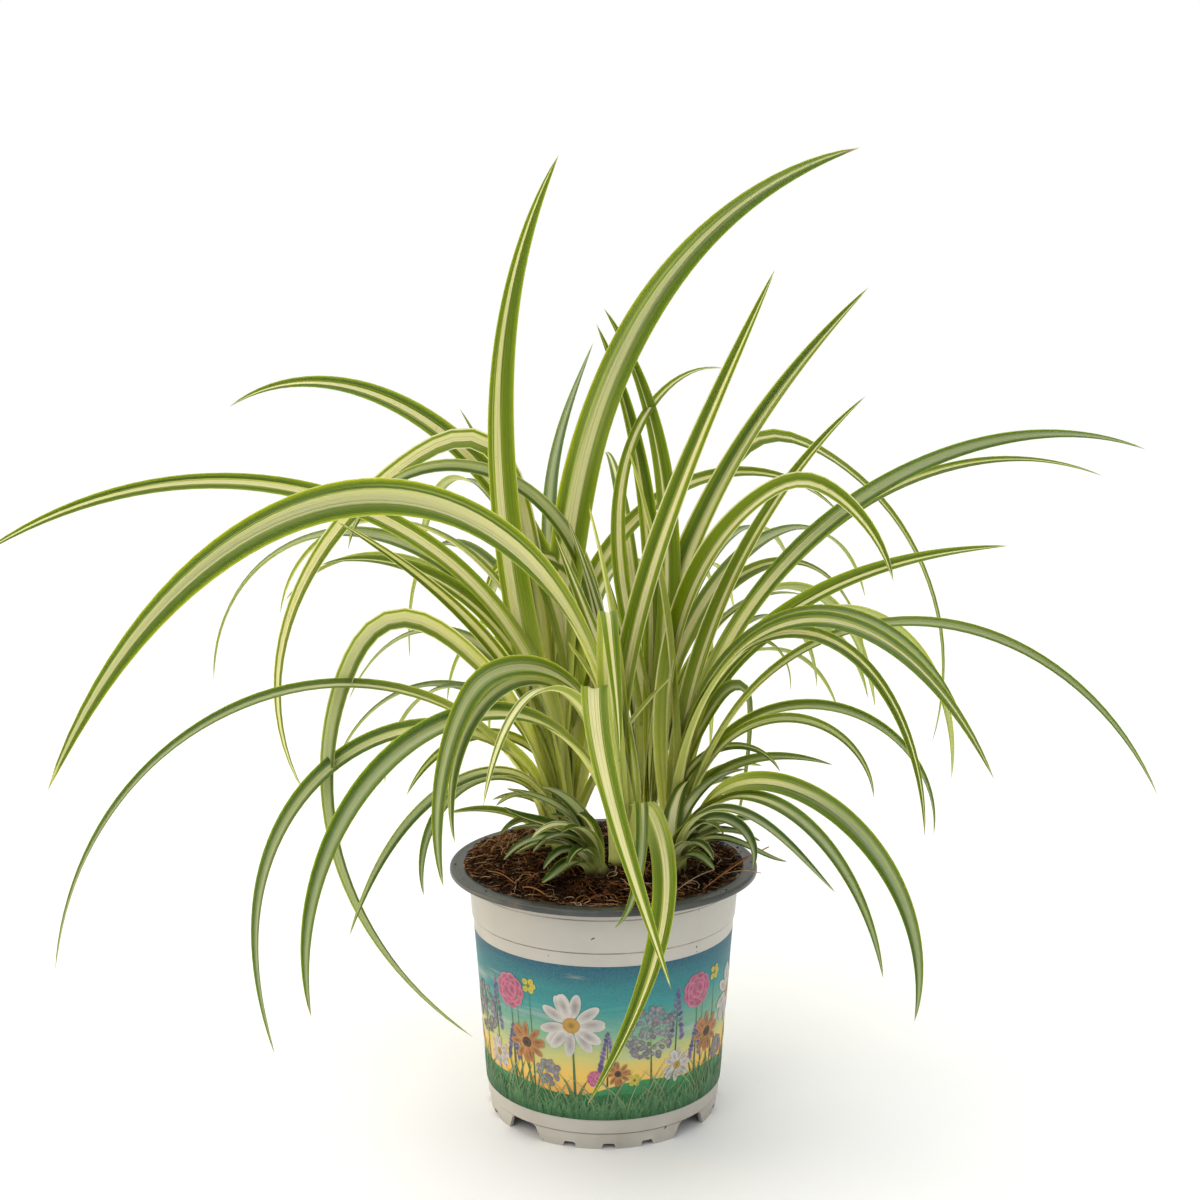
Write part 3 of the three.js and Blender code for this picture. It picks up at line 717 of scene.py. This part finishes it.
# One bunch of flowers fills a quarter of the way round: kind, mm from its middle, height, size
BUNCH = [
    ("daisy", -12, 50, 12.5),
    ("daisy", 30, 31, 6.5),
    ("coneflower", -31, 40, 8),
    ("coneflower", 5.5, 31, 5),
    ("puff", 18, 46, 10),
    ("puff", -22, 30, 5),
    ("rose", 38.5, 59, 7.5),
    ("rose", -3, 29, 3.6),
    ("buttercup", -29, 63, 3.2),
    ("buttercup", -35, 57, 2.4),
    ("buttercup", 12, 28, 2.6),
    ("bells", 29, 62, 30),
    ("bells", 1.5, 48, 22),
    ("bells", -38, 46, 20),
]
# Flowers with one ring of petals: how many, colour of a petal, of its root and of the heart
RAYED = {
    "daisy": (16, (0.6, 0.57, 0.52), (0.3, 0.27, 0.27), (0.42, 0.24, 0.04)),
    "coneflower": (13, (0.5, 0.24, 0.08), (0.2, 0.07, 0.03), (0.06, 0.035, 0.025)),
    "buttercup": (5, (0.56, 0.5, 0.08), (0.4, 0.3, 0.03), (0.2, 0.2, 0.03)),
}
# Darkest and lightest colour of the others
PUFF = ((0.2, 0.19, 0.21), (0.42, 0.39, 0.42))
ROSE = ((0.24, 0.03, 0.09), (0.6, 0.2, 0.3))
BELLS = ((0.08, 0.06, 0.16), (0.28, 0.22, 0.38))
BLACK = (0, 0, 0)


def on_pot(x, z, lift):
    """A point of the print, x mm to the right of the front's middle and z mm up, lift mm off the wall."""
    angle = math.radians(FRONT) + x / BAND_RADIUS
    return (*polar((wall_radius(z) + lift) * MM, angle), z * MM)


def blend(a, b, share):
    return tuple(p + (q - p) * share for p, q in zip(a, b))


def make_sky(material):
    """A thin closed band on the wall."""
    columns, rows = 192, 12
    sunk = -0.04
    heights = [BAND[0] + (BAND[1] - BAND[0]) * row / rows for row in range(rows + 1)]
    loop = [(z, LIFT["sky"]) for z in heights] + [(z, sunk) for z in reversed(heights)]
    vertices = [on_pot(AROUND * k / columns, z, lift) for k in range(columns) for z, lift in loop]
    count = len(loop)
    faces = [face for k in range(columns) for face in bridge(k * count, (k + 1) % columns * count, count)]
    band = new_mesh("print_sky", vertices, faces, material)
    smooth_by_angle(band)
    place(band, "pot_print")


class Ink(Heap):
    """Flat printed motifs, gathered as one mesh that follows the wall."""

    def point(self, x, z, lift, colour):
        self.vertices.append(on_pot(x, min(max(z, BAND[0]), BAND[1]), lift))
        self.tints.append(colour)
        return len(self.vertices) - 1

    def oval(self, x, z, long, wide, turn, lift, inner, outer, sides=16):
        """A filled ellipse, in rings close enough to follow the wall; the colour runs outwards."""
        widest = 1.6  # of one ring, mm
        rings = max(1, math.ceil(long / widest))
        middle = self.point(x, z, lift, inner)
        for ring in range(1, rings + 1):
            share = ring / rings
            colour = blend(inner, outer, share)
            for angle in turns(sides):
                along, aside = long * share * math.cos(angle), wide * share * math.sin(angle)
                right = along * math.cos(turn) - aside * math.sin(turn)
                up = along * math.sin(turn) + aside * math.cos(turn)
                self.point(x + right, z + up, lift, colour)
            now = middle + 1 + (ring - 1) * sides
            if ring == 1:
                self.faces += [(middle, now + k, now + (k + 1) % sides) for k in range(sides)]
            else:
                self.faces += bridge(now - sides, now, sides)

    def stroke(self, x, z, height, lean, width, low, high, lift):
        """A curved blade or stem from its foot at (x, z), thinning upwards."""
        steps = 8
        for step in range(steps + 1):
            share = step / steps
            middle = x + lean * share**2
            half = 0.5 * width * (1 - share) ** 0.6
            colour = blend(low, high, share)
            up = z + height * share * (1 - 0.15 * abs(lean) / (height + 1) * share)
            left, right = [self.point(middle + side * half, up, lift, colour) for side in (-1, 1)]
            if step:
                self.faces.append((left - 2, right - 2, right, left))

    def hill(self, name):
        crest, sway, low, high = HILLS[name]
        columns, rows = 240, 6
        start = len(self.vertices)
        for k, turn in enumerate(turns(columns)):
            top = crest + sway * math.sin(3 * turn + crest) + 0.5 * sway * math.sin(7 * turn)
            rise = (top - BAND[0]) / rows
            for j in range(rows + 1):
                self.point(AROUND * k / columns, BAND[0] + rise * j, LIFT[name], blend(low, high, j / rows))
        for k in range(columns):
            here, after = (start + at % columns * (rows + 1) for at in (k, k + 1))
            self.faces += [(here + j, after + j, after + j + 1, here + j + 1) for j in range(rows)]

    def stem(self, x, z, width):
        """A stem up to a flower, with a leaf on either side."""
        height = z - BAND[0]
        self.stroke(x + 1, BAND[0], height, -1, width, *STEM, LIFT["stem"])
        for lean in (-4.5, 5):
            self.stroke(x + 1, BAND[0], 0.45 * height, lean, 1.9 * width, *STEM, LIFT["stem"] + 0.02)

    def rayed(self, x, z, size, kind):
        """A flower of one ring of petals round a domed heart."""
        petals, face, root, heart = RAYED[kind]
        lift, reach = LIFT["flower"], 0.62 * size
        slim = 0.17 if petals > 8 else 0.36
        for k, angle in enumerate(turns(petals)):
            turn = angle + 0.3 * math.sin(5 * k)
            tone = self.draw.uniform(0, 0.25)
            across, up = polar(reach, turn)
            petal = (0.4 * size, slim * size, turn, lift + 0.01 * (k % 3))
            self.oval(x + across, z + up, *petal, root, blend(face, root, tone))
        self.oval(x, z, 0.27 * size, 0.25 * size, 0, lift + 0.04, blend(heart, face, 0.15), heart)
        self.oval(x, z, 0.13 * size, 0.12 * size, 0, lift + 0.05, blend(heart, BLACK, 0.5), heart)

    def puff(self, x, z, size):
        """A ball of many small florets."""
        for k in range(int(11 * size)):
            reach, turn = size * math.sqrt(self.draw.random()), self.draw.uniform(0, 2 * math.pi)
            tint = blend(*PUFF, self.draw.random() * (1 - 0.4 * reach / size))
            small = self.draw.uniform(0.8, 1.5)
            right, up = polar(reach, turn)
            floret = (small, 0.7 * small, self.draw.uniform(0, 3.1), LIFT["flower"] + 0.0006 * k)
            self.oval(x + right, z + up, *floret, tint, blend(tint, BLACK, 0.4), 8)

    def rose(self, x, z, size):
        """A full flower of round petals in rings."""
        for ring, (reach, petals) in enumerate(((0.66, 9), (0.42, 7), (0.2, 4))):
            for k, angle in enumerate(turns(petals)):
                turn = angle + ring
                right, up = polar(reach * size, turn)
                light = blend(*ROSE, self.draw.uniform(0.6, 1))
                lift = LIFT["flower"] + 0.02 * ring + 0.0015 * k
                petal = (0.34 * size, 0.28 * size, turn + math.pi / 2, lift)
                self.oval(x + right, z + up, *petal, ROSE[0], light)

    def bells(self, x, z, height):
        """A spike of small bells up a thin stem."""
        self.stroke(x, z - height, height, 0, 0.7, *STEM, LIFT["stem"])
        count = 18
        for k in range(count):
            share = 0.3 + 0.7 * k / count
            aside = (1 - share) * 4 * (1 if k % 2 else -1)
            up = z - height * (1 - share)
            tint = blend(*BELLS, self.draw.random())
            bell = (1.9 - share, 1.1 - 0.5 * share, self.draw.uniform(0, 3), 0.2)
            self.oval(x + aside, up, *bell, BELLS[0], tint, 10)

    def grass(self):
        """Blades in front of the stems, with a few long light ones that arch over."""
        uniform = self.draw.uniform
        for k in range(GRASS):
            light = self.draw.random()
            long = k % 9 == 0
            height = uniform(13, 24) if long else uniform(4, 12)
            lean = self.draw.choice((-1, 1)) * (uniform(5, 13) if long else uniform(0, 5))
            low = blend((0.006, 0.05, 0.015), (0.015, 0.12, 0.035), light)
            high = blend((0.03, 0.17, 0.05), (0.36, 0.46, 0.24), 0.5 + 0.5 * light if long else 0.4 * light)
            width = uniform(0.7, 1.2) if long else uniform(0.8, 1.6)
            lift = LIFT["grass"] + 0.08 * self.draw.random()
            self.stroke(uniform(0, AROUND), BAND[0], height, lean, width, low, high, lift)


def make_print(sky, ink_surface):
    """A made-up meadow at sunset with garden flowers."""
    make_sky(sky)
    ink = Ink(SEED)
    for name in HILLS:
        ink.hill(name)
    for number in range(BUNCHES):
        for kind, x, z, size in BUNCH:
            at = x + number * AROUND / BUNCHES + ink.draw.uniform(-1, 1) * (number > 0)
            if kind == "bells":
                ink.bells(at, z, size)
                continue
            ink.stem(at, z, 0.6 + 0.06 * size)
            if kind == "puff":
                ink.puff(at, z, size)
            elif kind == "rose":
                ink.rose(at, z, size)
            else:
                ink.rayed(at, z, size, kind)
    ink.grass()
    ink.finish("print_motifs", "pot_print", ink_surface)


# ---- growing medium

TUFT = {"x": -36, "y": 14, "wide": 18, "deep": 28, "rise": 2.6}  # the loose orange heap at the back left
FIBRES = 6200
CRUMBS = 1500
FIBRE_TINTS = [
    (0.014, 0.005, 0.002),
    (0.055, 0.019, 0.007),
    (0.15, 0.053, 0.018),
    (0.36, 0.15, 0.05),
    (0.52, 0.35, 0.19),
]
# Straws that lie on the soil: from (x, y, z) to (x, y, z), thickness, which tint, all in mm
STRAWS = [
    ((37, -34, 97.5), (64, -8, 106), 0.5, 3),
    ((26, -38, 97.5), (42, -24, 102), 0.35, 4),
    ((46, -20, 99), (60, -21, 99.6), 0.35, 4),
    ((42, -28, 99), (56, -6, 101.5), 0.4, 2),
    ((-30, -36, 99), (-21, -44, 98.5), 0.5, 3),
    ((-44, -18, 99.5), (-33, -33, 99.5), 0.4, 3),
]


def soil_height(x, y):
    """The soil's surface in mm, as in the solid."""
    out = np.hypot(x, y) / SOIL["reach"]
    lumps = np.sin(x * 0.31 + 1) * np.cos(y * 0.27) + np.sin(x * 0.13 - y * 0.22)
    return SOIL["edge"] + SOIL["mound"] * (1 - out * out) + SOIL["lump"] * lumps * (1 - out)


def ripples(x, y, draw):
    """A sum of short waves in drawn directions, between about -1 and 1."""
    count = 26
    total = np.zeros_like(x)
    for _ in range(count):
        turn, pitch = draw.uniform(0, math.pi), draw.uniform(0.35, 1.9)
        total += np.sin(pitch * (x * math.cos(turn) + y * math.sin(turn)) + draw.uniform(0, 6.3))
    return total / math.sqrt(count)


def make_soil_bed(material):
    rings, sides = 88, 220
    gap = 0.3  # to the pot
    edge = wall_radius(SOIL["edge"] - 2) - SHEET - gap
    radius = np.repeat(edge * np.arange(1, rings + 1) / rings, sides)
    angle = np.tile(2 * math.pi * np.arange(sides) / sides, rings)
    x, y = radius * np.cos(angle), radius * np.sin(angle)
    fade = np.clip((edge - radius) / 3, 0, 1)
    sunk, rough = 1.1, 0.95
    z = soil_height(x, y) - sunk * fade + rough * ripples(x, y, random.Random(SEED + 1)) * fade
    vertices = [(0, 0, float(soil_height(0.0, 0.0)) * MM), *(np.stack([x, y, z], 1) * MM).tolist()]
    faces = [(0, 1 + k, 1 + (k + 1) % sides) for k in range(sides)]
    for ring in range(rings - 1):
        faces += bridge(1 + ring * sides, 1 + (ring + 1) * sides, sides)
    # The side and the underside, against the pot
    last = 1 + (rings - 1) * sides
    for depth in (92.3, STEP_LINES[1] + 1, FLOOR_UNDER + SHEET + 0.6):
        around = (wall_radius(depth) - SHEET - gap) * MM
        faces += bridge(last, len(vertices), sides)
        last = len(vertices)
        vertices += [(*polar(around, turn), depth * MM) for turn in turns(sides)]
    faces.append(tuple(reversed(range(last, last + sides))))
    place(new_mesh("soil_bed", vertices, faces, material), "soil", "soil")


def tube(points, radii, sides=3):
    """Vertices and faces of a thin closed tube through points."""
    points = np.asarray(points, float)
    way = np.gradient(points, axis=0)
    way /= np.linalg.norm(way, axis=1)[:, None]
    side = np.cross(way, (0.3, 0.2, 1.0))
    side /= np.linalg.norm(side, axis=1)[:, None] + 1e-12
    up = np.cross(side, way)
    around = np.array(turns(sides))[None, :, None]
    ways = np.cos(around) * side[:, None] + np.sin(around) * up[:, None]
    rings = points[:, None] + np.asarray(radii)[:, None, None] * ways
    last = (len(points) - 1) * sides
    faces = [tuple(reversed(range(sides))), tuple(range(last, last + sides))]
    for low in range(0, last, sides):
        faces += bridge(low, low + sides, sides, flip=True)
    return rings.reshape(-1, 3), faces


def make_fibres(material):
    """Loose coir: curly threads that lie on the soil, thicker and more orange in the tuft, and straws."""
    heap = Heap(SEED + 2)
    draw, uniform = heap.draw, heap.draw.uniform
    limit, inside = RIM_RADIUS - 5.5, wall_radius(SOIL["edge"]) - SHEET - 0.6
    steps, highest = 8, 103.6
    roots = list(CROWNS.values())
    for k in range(FIBRES):
        by_root = k % 8 == 1
        if k % 3 == 0:
            x, y = TUFT["x"] + draw.gauss(0, 9), TUFT["y"] + draw.gauss(0, 16)
        elif by_root:
            x, y, around = roots[k // 8 % len(roots)]
            right, deep = polar(around + uniform(1, 6), uniform(0, 2 * math.pi))
            x, y = x + right, y + deep
        else:
            x, y = polar(limit * math.sqrt(draw.random()), uniform(0, 2 * math.pi))
        # How far inside the tuft the thread starts, between 0 and 1
        tuft = max(0.0, 1 - math.hypot((x - TUFT["x"]) / TUFT["wide"], (y - TUFT["y"]) / TUFT["deep"]))
        length = uniform(5, 15) + 4 * tuft
        heading, turn = uniform(0, 2 * math.pi), draw.gauss(0, 0.35)
        hump = uniform(0.2, 2.0) + 2 * tuft * draw.random()
        sunk = uniform(-1.1, 0.4) + (1.6 if by_root else 0)
        points = []
        for step in range(steps):
            if math.hypot(x, y) > limit:
                x, y = x * limit / math.hypot(x, y), y * limit / math.hypot(x, y)
            raised = hump * math.sin(math.pi * step / (steps - 1)) + TUFT["rise"] * tuft * draw.random()
            z = float(soil_height(x, y)) + sunk + raised
            if math.hypot(x, y) > inside:
                z = max(z, RIM_TOP + 0.15)
            points.append((x * MM, y * MM, min(z, highest) * MM))
            x += length / steps * math.cos(heading)
            y += length / steps * math.sin(heading)
            heading += turn + draw.gauss(0, 0.4)
        thick = uniform(0.1, 0.24) * MM
        radii = [thick * (1 - 0.6 * abs(2 * s / (steps - 1) - 1) ** 3) for s in range(steps)]
        bright = draw.random() ** (2.0 - 1.1 * tuft) * 4.6 + 0.7 * tuft
        heap.put(*tube(points, radii), FIBRE_TINTS[min(4, int(bright))])
    for start, end, thick, tint in STRAWS:
        share = np.linspace(0, 1, 10)[:, None]
        line = np.array(start) * (1 - share) + np.array(end) * share
        line[:, 2] += 1.2 * np.sin(math.pi * share[:, 0])
        heap.put(*tube(line * MM, [0.5 * thick * MM] * len(line), 6), FIBRE_TINTS[tint])
    heap.finish("soil_fibres", "fibre", material)


def make_crumbs(material):
    """Crumbs and chips of peat and coir, half sunk in the surface, a few fallen on the rim."""
    heap = Heap(SEED + 3)
    draw, uniform = heap.draw, heap.draw.uniform
    ball = bmesh.new()
    bmesh.ops.create_icosphere(ball, subdivisions=1, radius=1)
    shape = np.array([v.co for v in ball.verts])
    faces = [tuple(v.index for v in face.verts) for face in ball.faces]
    ball.free()
    limit = wall_radius(SOIL["edge"]) - SHEET - 1.4
    on_rim, one_in = (54, 59), 50
    for k in range(CRUMBS):
        reach, angle = limit * math.sqrt(draw.random()), uniform(0, 2 * math.pi)
        size = uniform(0.35, 1.0) + 1.3 * draw.random() ** 5
        fallen = k % one_in == 0
        if fallen:
            reach, size = uniform(*on_rim), uniform(0.2, 0.45)
        x, y = polar(reach, angle)
        base = RIM_TOP if fallen else float(soil_height(x, y)) - 0.6 * size
        stretch = np.array([uniform(0.6, 1.6), uniform(0.5, 1.0), uniform(0.4, 0.8)]) * size
        jag = 1 + 0.28 * np.array([draw.gauss(0, 1) for _ in shape])
        cos, sin = polar(1, uniform(0, math.pi))
        points = shape * np.clip(jag, 0.5, 1.5)[:, None] * stretch
        across = points[:, 0] * cos - points[:, 1] * sin
        deep = points[:, 0] * sin + points[:, 1] * cos
        spun = np.stack([across + x, deep + y, points[:, 2] + base], 1)
        heap.put(spun * MM, faces, FIBRE_TINTS[min(3, int(4 * draw.random() ** 2.6))])
    heap.finish("soil_crumbs", "soil", material)


# ---- leaves


def hidden_leaves():
    """The leaves that the rule adds, as rows for each rosette."""
    value, span = FILL_SEED, 2**32

    def draw():
        nonlocal value
        value = (1664525 * value + 1013904223) % span
        return value / span

    def between(name, part):
        low, high = DRAWN[name]
        return low + (high - low) * part

    rows = {}
    for crown, first, last, count in FILL:
        rows[crown] = []
        for k in range(count):
            heading = first + (last - first) * (k + draw()) / count
            size = draw()
            length, width = between("length", size), between("width", size)
            rise, middle = between("rise", draw()), between("middle", draw())
            tip = middle - between("droop", draw())
            sway, roll = between("sway", draw()), between("roll", draw())
            rows[crown].append((heading, rise, middle, tip, length, width, sway, roll))
    return rows


def midline(leaf, crown):
    """The leaf's line in mm, and the ways across the blade and up out of it, at each fine step."""
    heading, rise, middle, tip, length, _, sway, roll, *bend = leaf
    x, y, crown_radius = crown

    sharp = 0.02  # the share of the leaf in which it creases

    def elevation(s):
        arch = rise * (1 - s) * (1 - 2 * s) + 4 * middle * s * (1 - s) + tip * s * (2 * s - 1)
        for at, by in bend:
            arch = arch - by / (1 + np.exp((at - s) / sharp))
        return np.radians(arch)

    s = np.arange(STEPS + 1) / STEPS
    mid = s[:-1] + 0.5 / STEPS
    e, h = elevation(mid), np.radians(heading + sway * mid)
    ahead = np.stack([np.cos(e) * np.cos(h), np.cos(e) * np.sin(h), np.sin(e)], 1) * length / STEPS
    upright = min(max((middle - SPREADING) / (UPRIGHT - SPREADING), 0), 1)
    right, deep = polar(crown_radius * (1 - upright), math.radians(heading))
    root = np.array([x + right, y + deep, CROWN_HEIGHT])
    line = np.vstack([root, root + np.cumsum(ahead, 0)])
    e, h = elevation(s), np.radians(heading + sway * s)
    twist = np.radians(roll) * (1 - np.exp(-s / 0.15))
    side = np.stack([-np.sin(h), np.cos(h), 0 * h], 1)
    top = np.stack([-np.sin(e) * np.cos(h), -np.sin(e) * np.sin(h), np.cos(e)], 1)
    cos, sin = np.cos(twist)[:, None], np.sin(twist)[:, None]
    return s, line, side * cos + top * sin, top * cos - side * sin


def half_width(width, s):
    swell = BASE["width"] + (1 - BASE["width"]) * np.minimum(s / BASE["reach"], 1)
    return width / 2 * (1 - s**2.6) ** 0.75 * swell


def fold_angle(s):
    return np.radians(FOLD["open"] + FOLD["root"] * np.exp(-s / FOLD["fade"]))


SHEATH = [(0.6, 5.0), (0.85, 2.4)]  # size of the sheath, and how far it is below the root
# The bundle of bases at the crown: share of the crown's radius, height
STUB = [(0.7, 90), (0.85, 95), (0.86, 99), (0.8, 101.2), (0.6, 103), (0.3, 105.5)]


class Blades:
    """The blades of one rosette as one mesh, with what the shader needs to know at each point."""

    def __init__(self, stripe):
        self.stripe = stripe
        self.vertices, self.faces, self.under = [], [], []
        self.facts = {name: [] for name in FACTS}

    def note(self, count, *facts):
        for name, fact in zip(FACTS, facts):
            self.facts[name] += np.broadcast_to(fact, (count,)).tolist()

    def add(self, leaf, crown, draw):
        """A channelled blade: a face of COLUMNS strips, a keeled underside, thin margins and a point."""
        s, line, across, up = midline(leaf, crown)
        _, _, middle, _, length, width = leaf[:6]
        u = np.linspace(-1, 1, COLUMNS + 1)
        half, fold = half_width(width, s)[:, None], fold_angle(s)[:, None]
        soft = 0.22  # how round the bottom of the channel is
        vee = (np.sqrt(u * u + soft * soft) - soft) / (math.sqrt(1 + soft * soft) - soft)
        pleat = 0.07 * np.exp(-(((np.abs(u) - 0.5) / 0.16) ** 2))
        phase, beat = draw.uniform(0, 6.3), draw.uniform(5, 9)
        wave = 0.05 * np.sin(beat * math.pi * s[:, None] * length / 300 + phase + 1.3 * np.sign(u)) * u * u
        sideways = half * np.cos(fold) * u
        face = half * (np.sin(fold) * vee + pleat * np.minimum(s / 0.2, 1)[:, None] + wave)
        thick = (0.22 + 0.32 * (1 - s[:, None] * 0.5)) * (1 - np.abs(u)) ** 0.6
        keel = 0.55 * (1 - 0.6 * s[:, None]) * np.exp(-((u / 0.13) ** 2))
        back = face - np.minimum(thick + keel, 0.5 * half + 0.1)
        rings = []
        for level, columns in ((face, range(COLUMNS + 1)), (back, range(COLUMNS - 1, 0, -1))):
            for k in columns:
                rings.append(line + across * sideways[:, k : k + 1] + up * level[:, k : k + 1])
        ring = np.stack(rings, 1)[:-1]
        # The sheathing base goes on straight down into the soil
        sheath = [line[0] + (ring[0] - line[0]) * share - (0, 0, sunk) for share, sunk in SHEATH]
        ring = np.concatenate([sheath, ring]) * MM
        s = np.concatenate([[0.0] * len(SHEATH), s])
        levels, count = ring.shape[:2]
        start = len(self.vertices)
        tip = start + levels * count
        last = tip - count
        self.vertices += [*ring.reshape(-1, 3).tolist(), (line[-1] * MM).tolist()]
        for low in range(start, last, count):
            self.faces += bridge(low, low + count, count)
        self.faces += [(last + k, tip, last + (k + 1) % count) for k in range(count)]
        self.faces.append(tuple(range(start, start + count)))
        self.under += [float(k >= COLUMNS) for k in range(count)] * levels + [0.0]
        tone = min(max(0.75 - middle / 150 + draw.uniform(-0.25, 0.25), 0.0), 1.0)
        stripe = draw.uniform(*self.stripe)
        seed = draw.random()
        u_ring = np.tile(np.concatenate([u, u[-2:0:-1]]), levels)
        self.note(levels * count, u_ring, np.repeat(s[:-1], count), seed, tone, stripe)
        self.note(1, 0.0, 1.0, seed, tone, stripe)

    def add_stub(self, crown, draw):
        """The pale bundle of sheathing bases around which the leaves stand, down into the soil."""
        x, y, radius = crown
        sides = 36
        start = len(self.vertices)
        for share, height in STUB:
            for angle in turns(sides):
                flute = 1 + 0.06 * math.cos(9 * angle + 0.02 * height) + 0.03 * math.cos(4 * angle)
                right, deep = polar(radius * share * flute, angle)
                self.vertices.append([(x + right) * MM, (y + deep) * MM, height * MM])
        last = len(self.vertices) - sides
        for low in range(start, last, sides):
            self.faces += bridge(low, low + sides, sides, flip=True)
        self.faces.append(tuple(range(last, last + sides)))
        self.faces.append(tuple(reversed(range(start, start + sides))))
        self.under += [0.0] * (last - start + 2)
        around = np.tile(np.sin(4.5 * 2 * math.pi * np.arange(sides) / sides), len(STUB))
        self.note(len(around), around, 0.02, draw.random(), 0.35, 0.5)

    def finish(self, name, slot, material, node):
        obj = new_mesh(name, self.vertices, self.faces, material)
        for key in FACTS:
            add_floats(obj, key, self.facts[key])
        add_floats(obj, "under", self.under, "FACE")
        smooth_by_angle(obj, 60)
        place(obj, slot, node)


def make_rosettes(leaf, young):
    hidden = hidden_leaves()
    for number, (name, crown) in enumerate(CROWNS.items()):
        draw = random.Random(SEED * 100 + number)
        is_young = name.startswith("offset")
        slot, material = ("young_leaf", young) if is_young else ("leaf", leaf)
        blades = Blades((0.2, 0.36) if is_young else (0.15, 0.34))
        blades.add_stub(crown, draw)
        for row in LEAVES[name] + hidden.get(name, []):
            blades.add(row, crown, draw)
        blades.finish(name + "_leaves", slot, material, name)


# ---- stage, light and camera


def make_stage():
    """A wide flat floor, as pale as the background into which it runs."""
    reach, sides = 6.0, 64
    disc = [(*polar(reach, turn), 0.0) for turn in turns(sides)]
    made = Shader("stage_white", Roughness=0.85, Specular_IOR_Level=0.05)
    pale = made.finish(made.mix(made.grain(1.5), (0.91, 0.91, 0.91), (0.93, 0.93, 0.93)))
    new_mesh("floor_disc", disc, [tuple(range(sides))], pale, smooth=False)


def lamp(kind, name, place_at, look_at, power, colour, **settings):
    data = bpy.data.lights.new(name, kind)
    data.energy, data.color = power, colour
    for key, value in settings.items():
        setattr(data, key, value)
    obj = show(bpy.data.objects.new(name, data))
    obj.location = place_at
    obj.rotation_euler = (Vector(look_at) - Vector(place_at)).to_track_quat("-Z", "Y").to_euler()


def make_world():
    """White where it is seen, and a low even light on everything else."""
    world = bpy.data.worlds.new("studio")
    world.use_nodes = True
    tree = world.node_tree
    seen, shade = 1.0, 0.7
    ray = tree.nodes.new("ShaderNodeLightPath")
    level = tree.nodes.new("ShaderNodeMapRange")
    level.inputs["To Min"].default_value = shade
    level.inputs["To Max"].default_value = seen
    backdrop = tree.nodes["Background"]
    backdrop.inputs["Color"].default_value = (1.0, 1.0, 1.0, 1.0)
    tree.links.new(ray.outputs["Is Camera Ray"], level.inputs["Value"])
    tree.links.new(level.outputs["Result"], backdrop.inputs["Strength"])
    bpy.context.scene.world = world
    bpy.context.scene.view_settings.view_transform = "Standard"


def make_light():
    make_world()
    lamp("SUN", "overhead", (-0.3, 0.9, 2.0), (0, 0, 0), 1.55, (1.0, 0.99, 0.96), angle=math.radians(60))
    middle = (0.0, 0.0, 0.16)
    for name, place_at, look_at, size, power, colour in (
        ("key", (-0.6, -1.1, 1.2), middle, 0.9, 5, (1.0, 0.99, 0.95)),
        ("fill", (1.2, -0.8, 0.7), middle, 1.2, 2, (0.92, 0.96, 1.0)),
        ("warm_side", (-1.1, 0.1, 0.25), (0, 0, 0.08), 0.6, 4, (1.0, 0.8, 0.45)),
    ):
        lamp("AREA", name, place_at, look_at, power, colour, shape="DISK", size=size)


def make_camera():
    """Where the photo was taken from: a little above the leaves, tilted down."""
    width_px, focal_px, axis_px = 1200, 1648, 603.5
    camera = bpy.data.cameras.new("camera")
    camera.sensor_width = 36
    camera.lens = 36 * focal_px / width_px
    camera.shift_x = (width_px / 2 - axis_px) / width_px
    obj = show(bpy.data.objects.new("camera", camera))
    obj.location = (0, -0.626, 0.294)
    obj.rotation_euler = (math.radians(90 - 8.4), 0, 0)
    bpy.context.scene.camera = obj


make_camera()
make_pot(cream_plastic(), grey_plastic())
make_print(sky_material(), ink_material())
make_soil_bed(soil_material())
fibre = fibre_material()
make_fibres(fibre)
make_crumbs(fibre)
# Each leaf's darkest and brightest green, its stripe and its pale base
make_rosettes(
    leaf_material("leaf", (0.036, 0.08, 0.002), (0.18, 0.245, 0.002), (0.72, 0.68, 0.36), (0.82, 0.86, 0.24)),
    leaf_material(
        "young_leaf", (0.017, 0.048, 0.003), (0.085, 0.13, 0.004), (0.74, 0.72, 0.42), (0.38, 0.43, 0.1)
    ),
)
make_stage()
make_light()
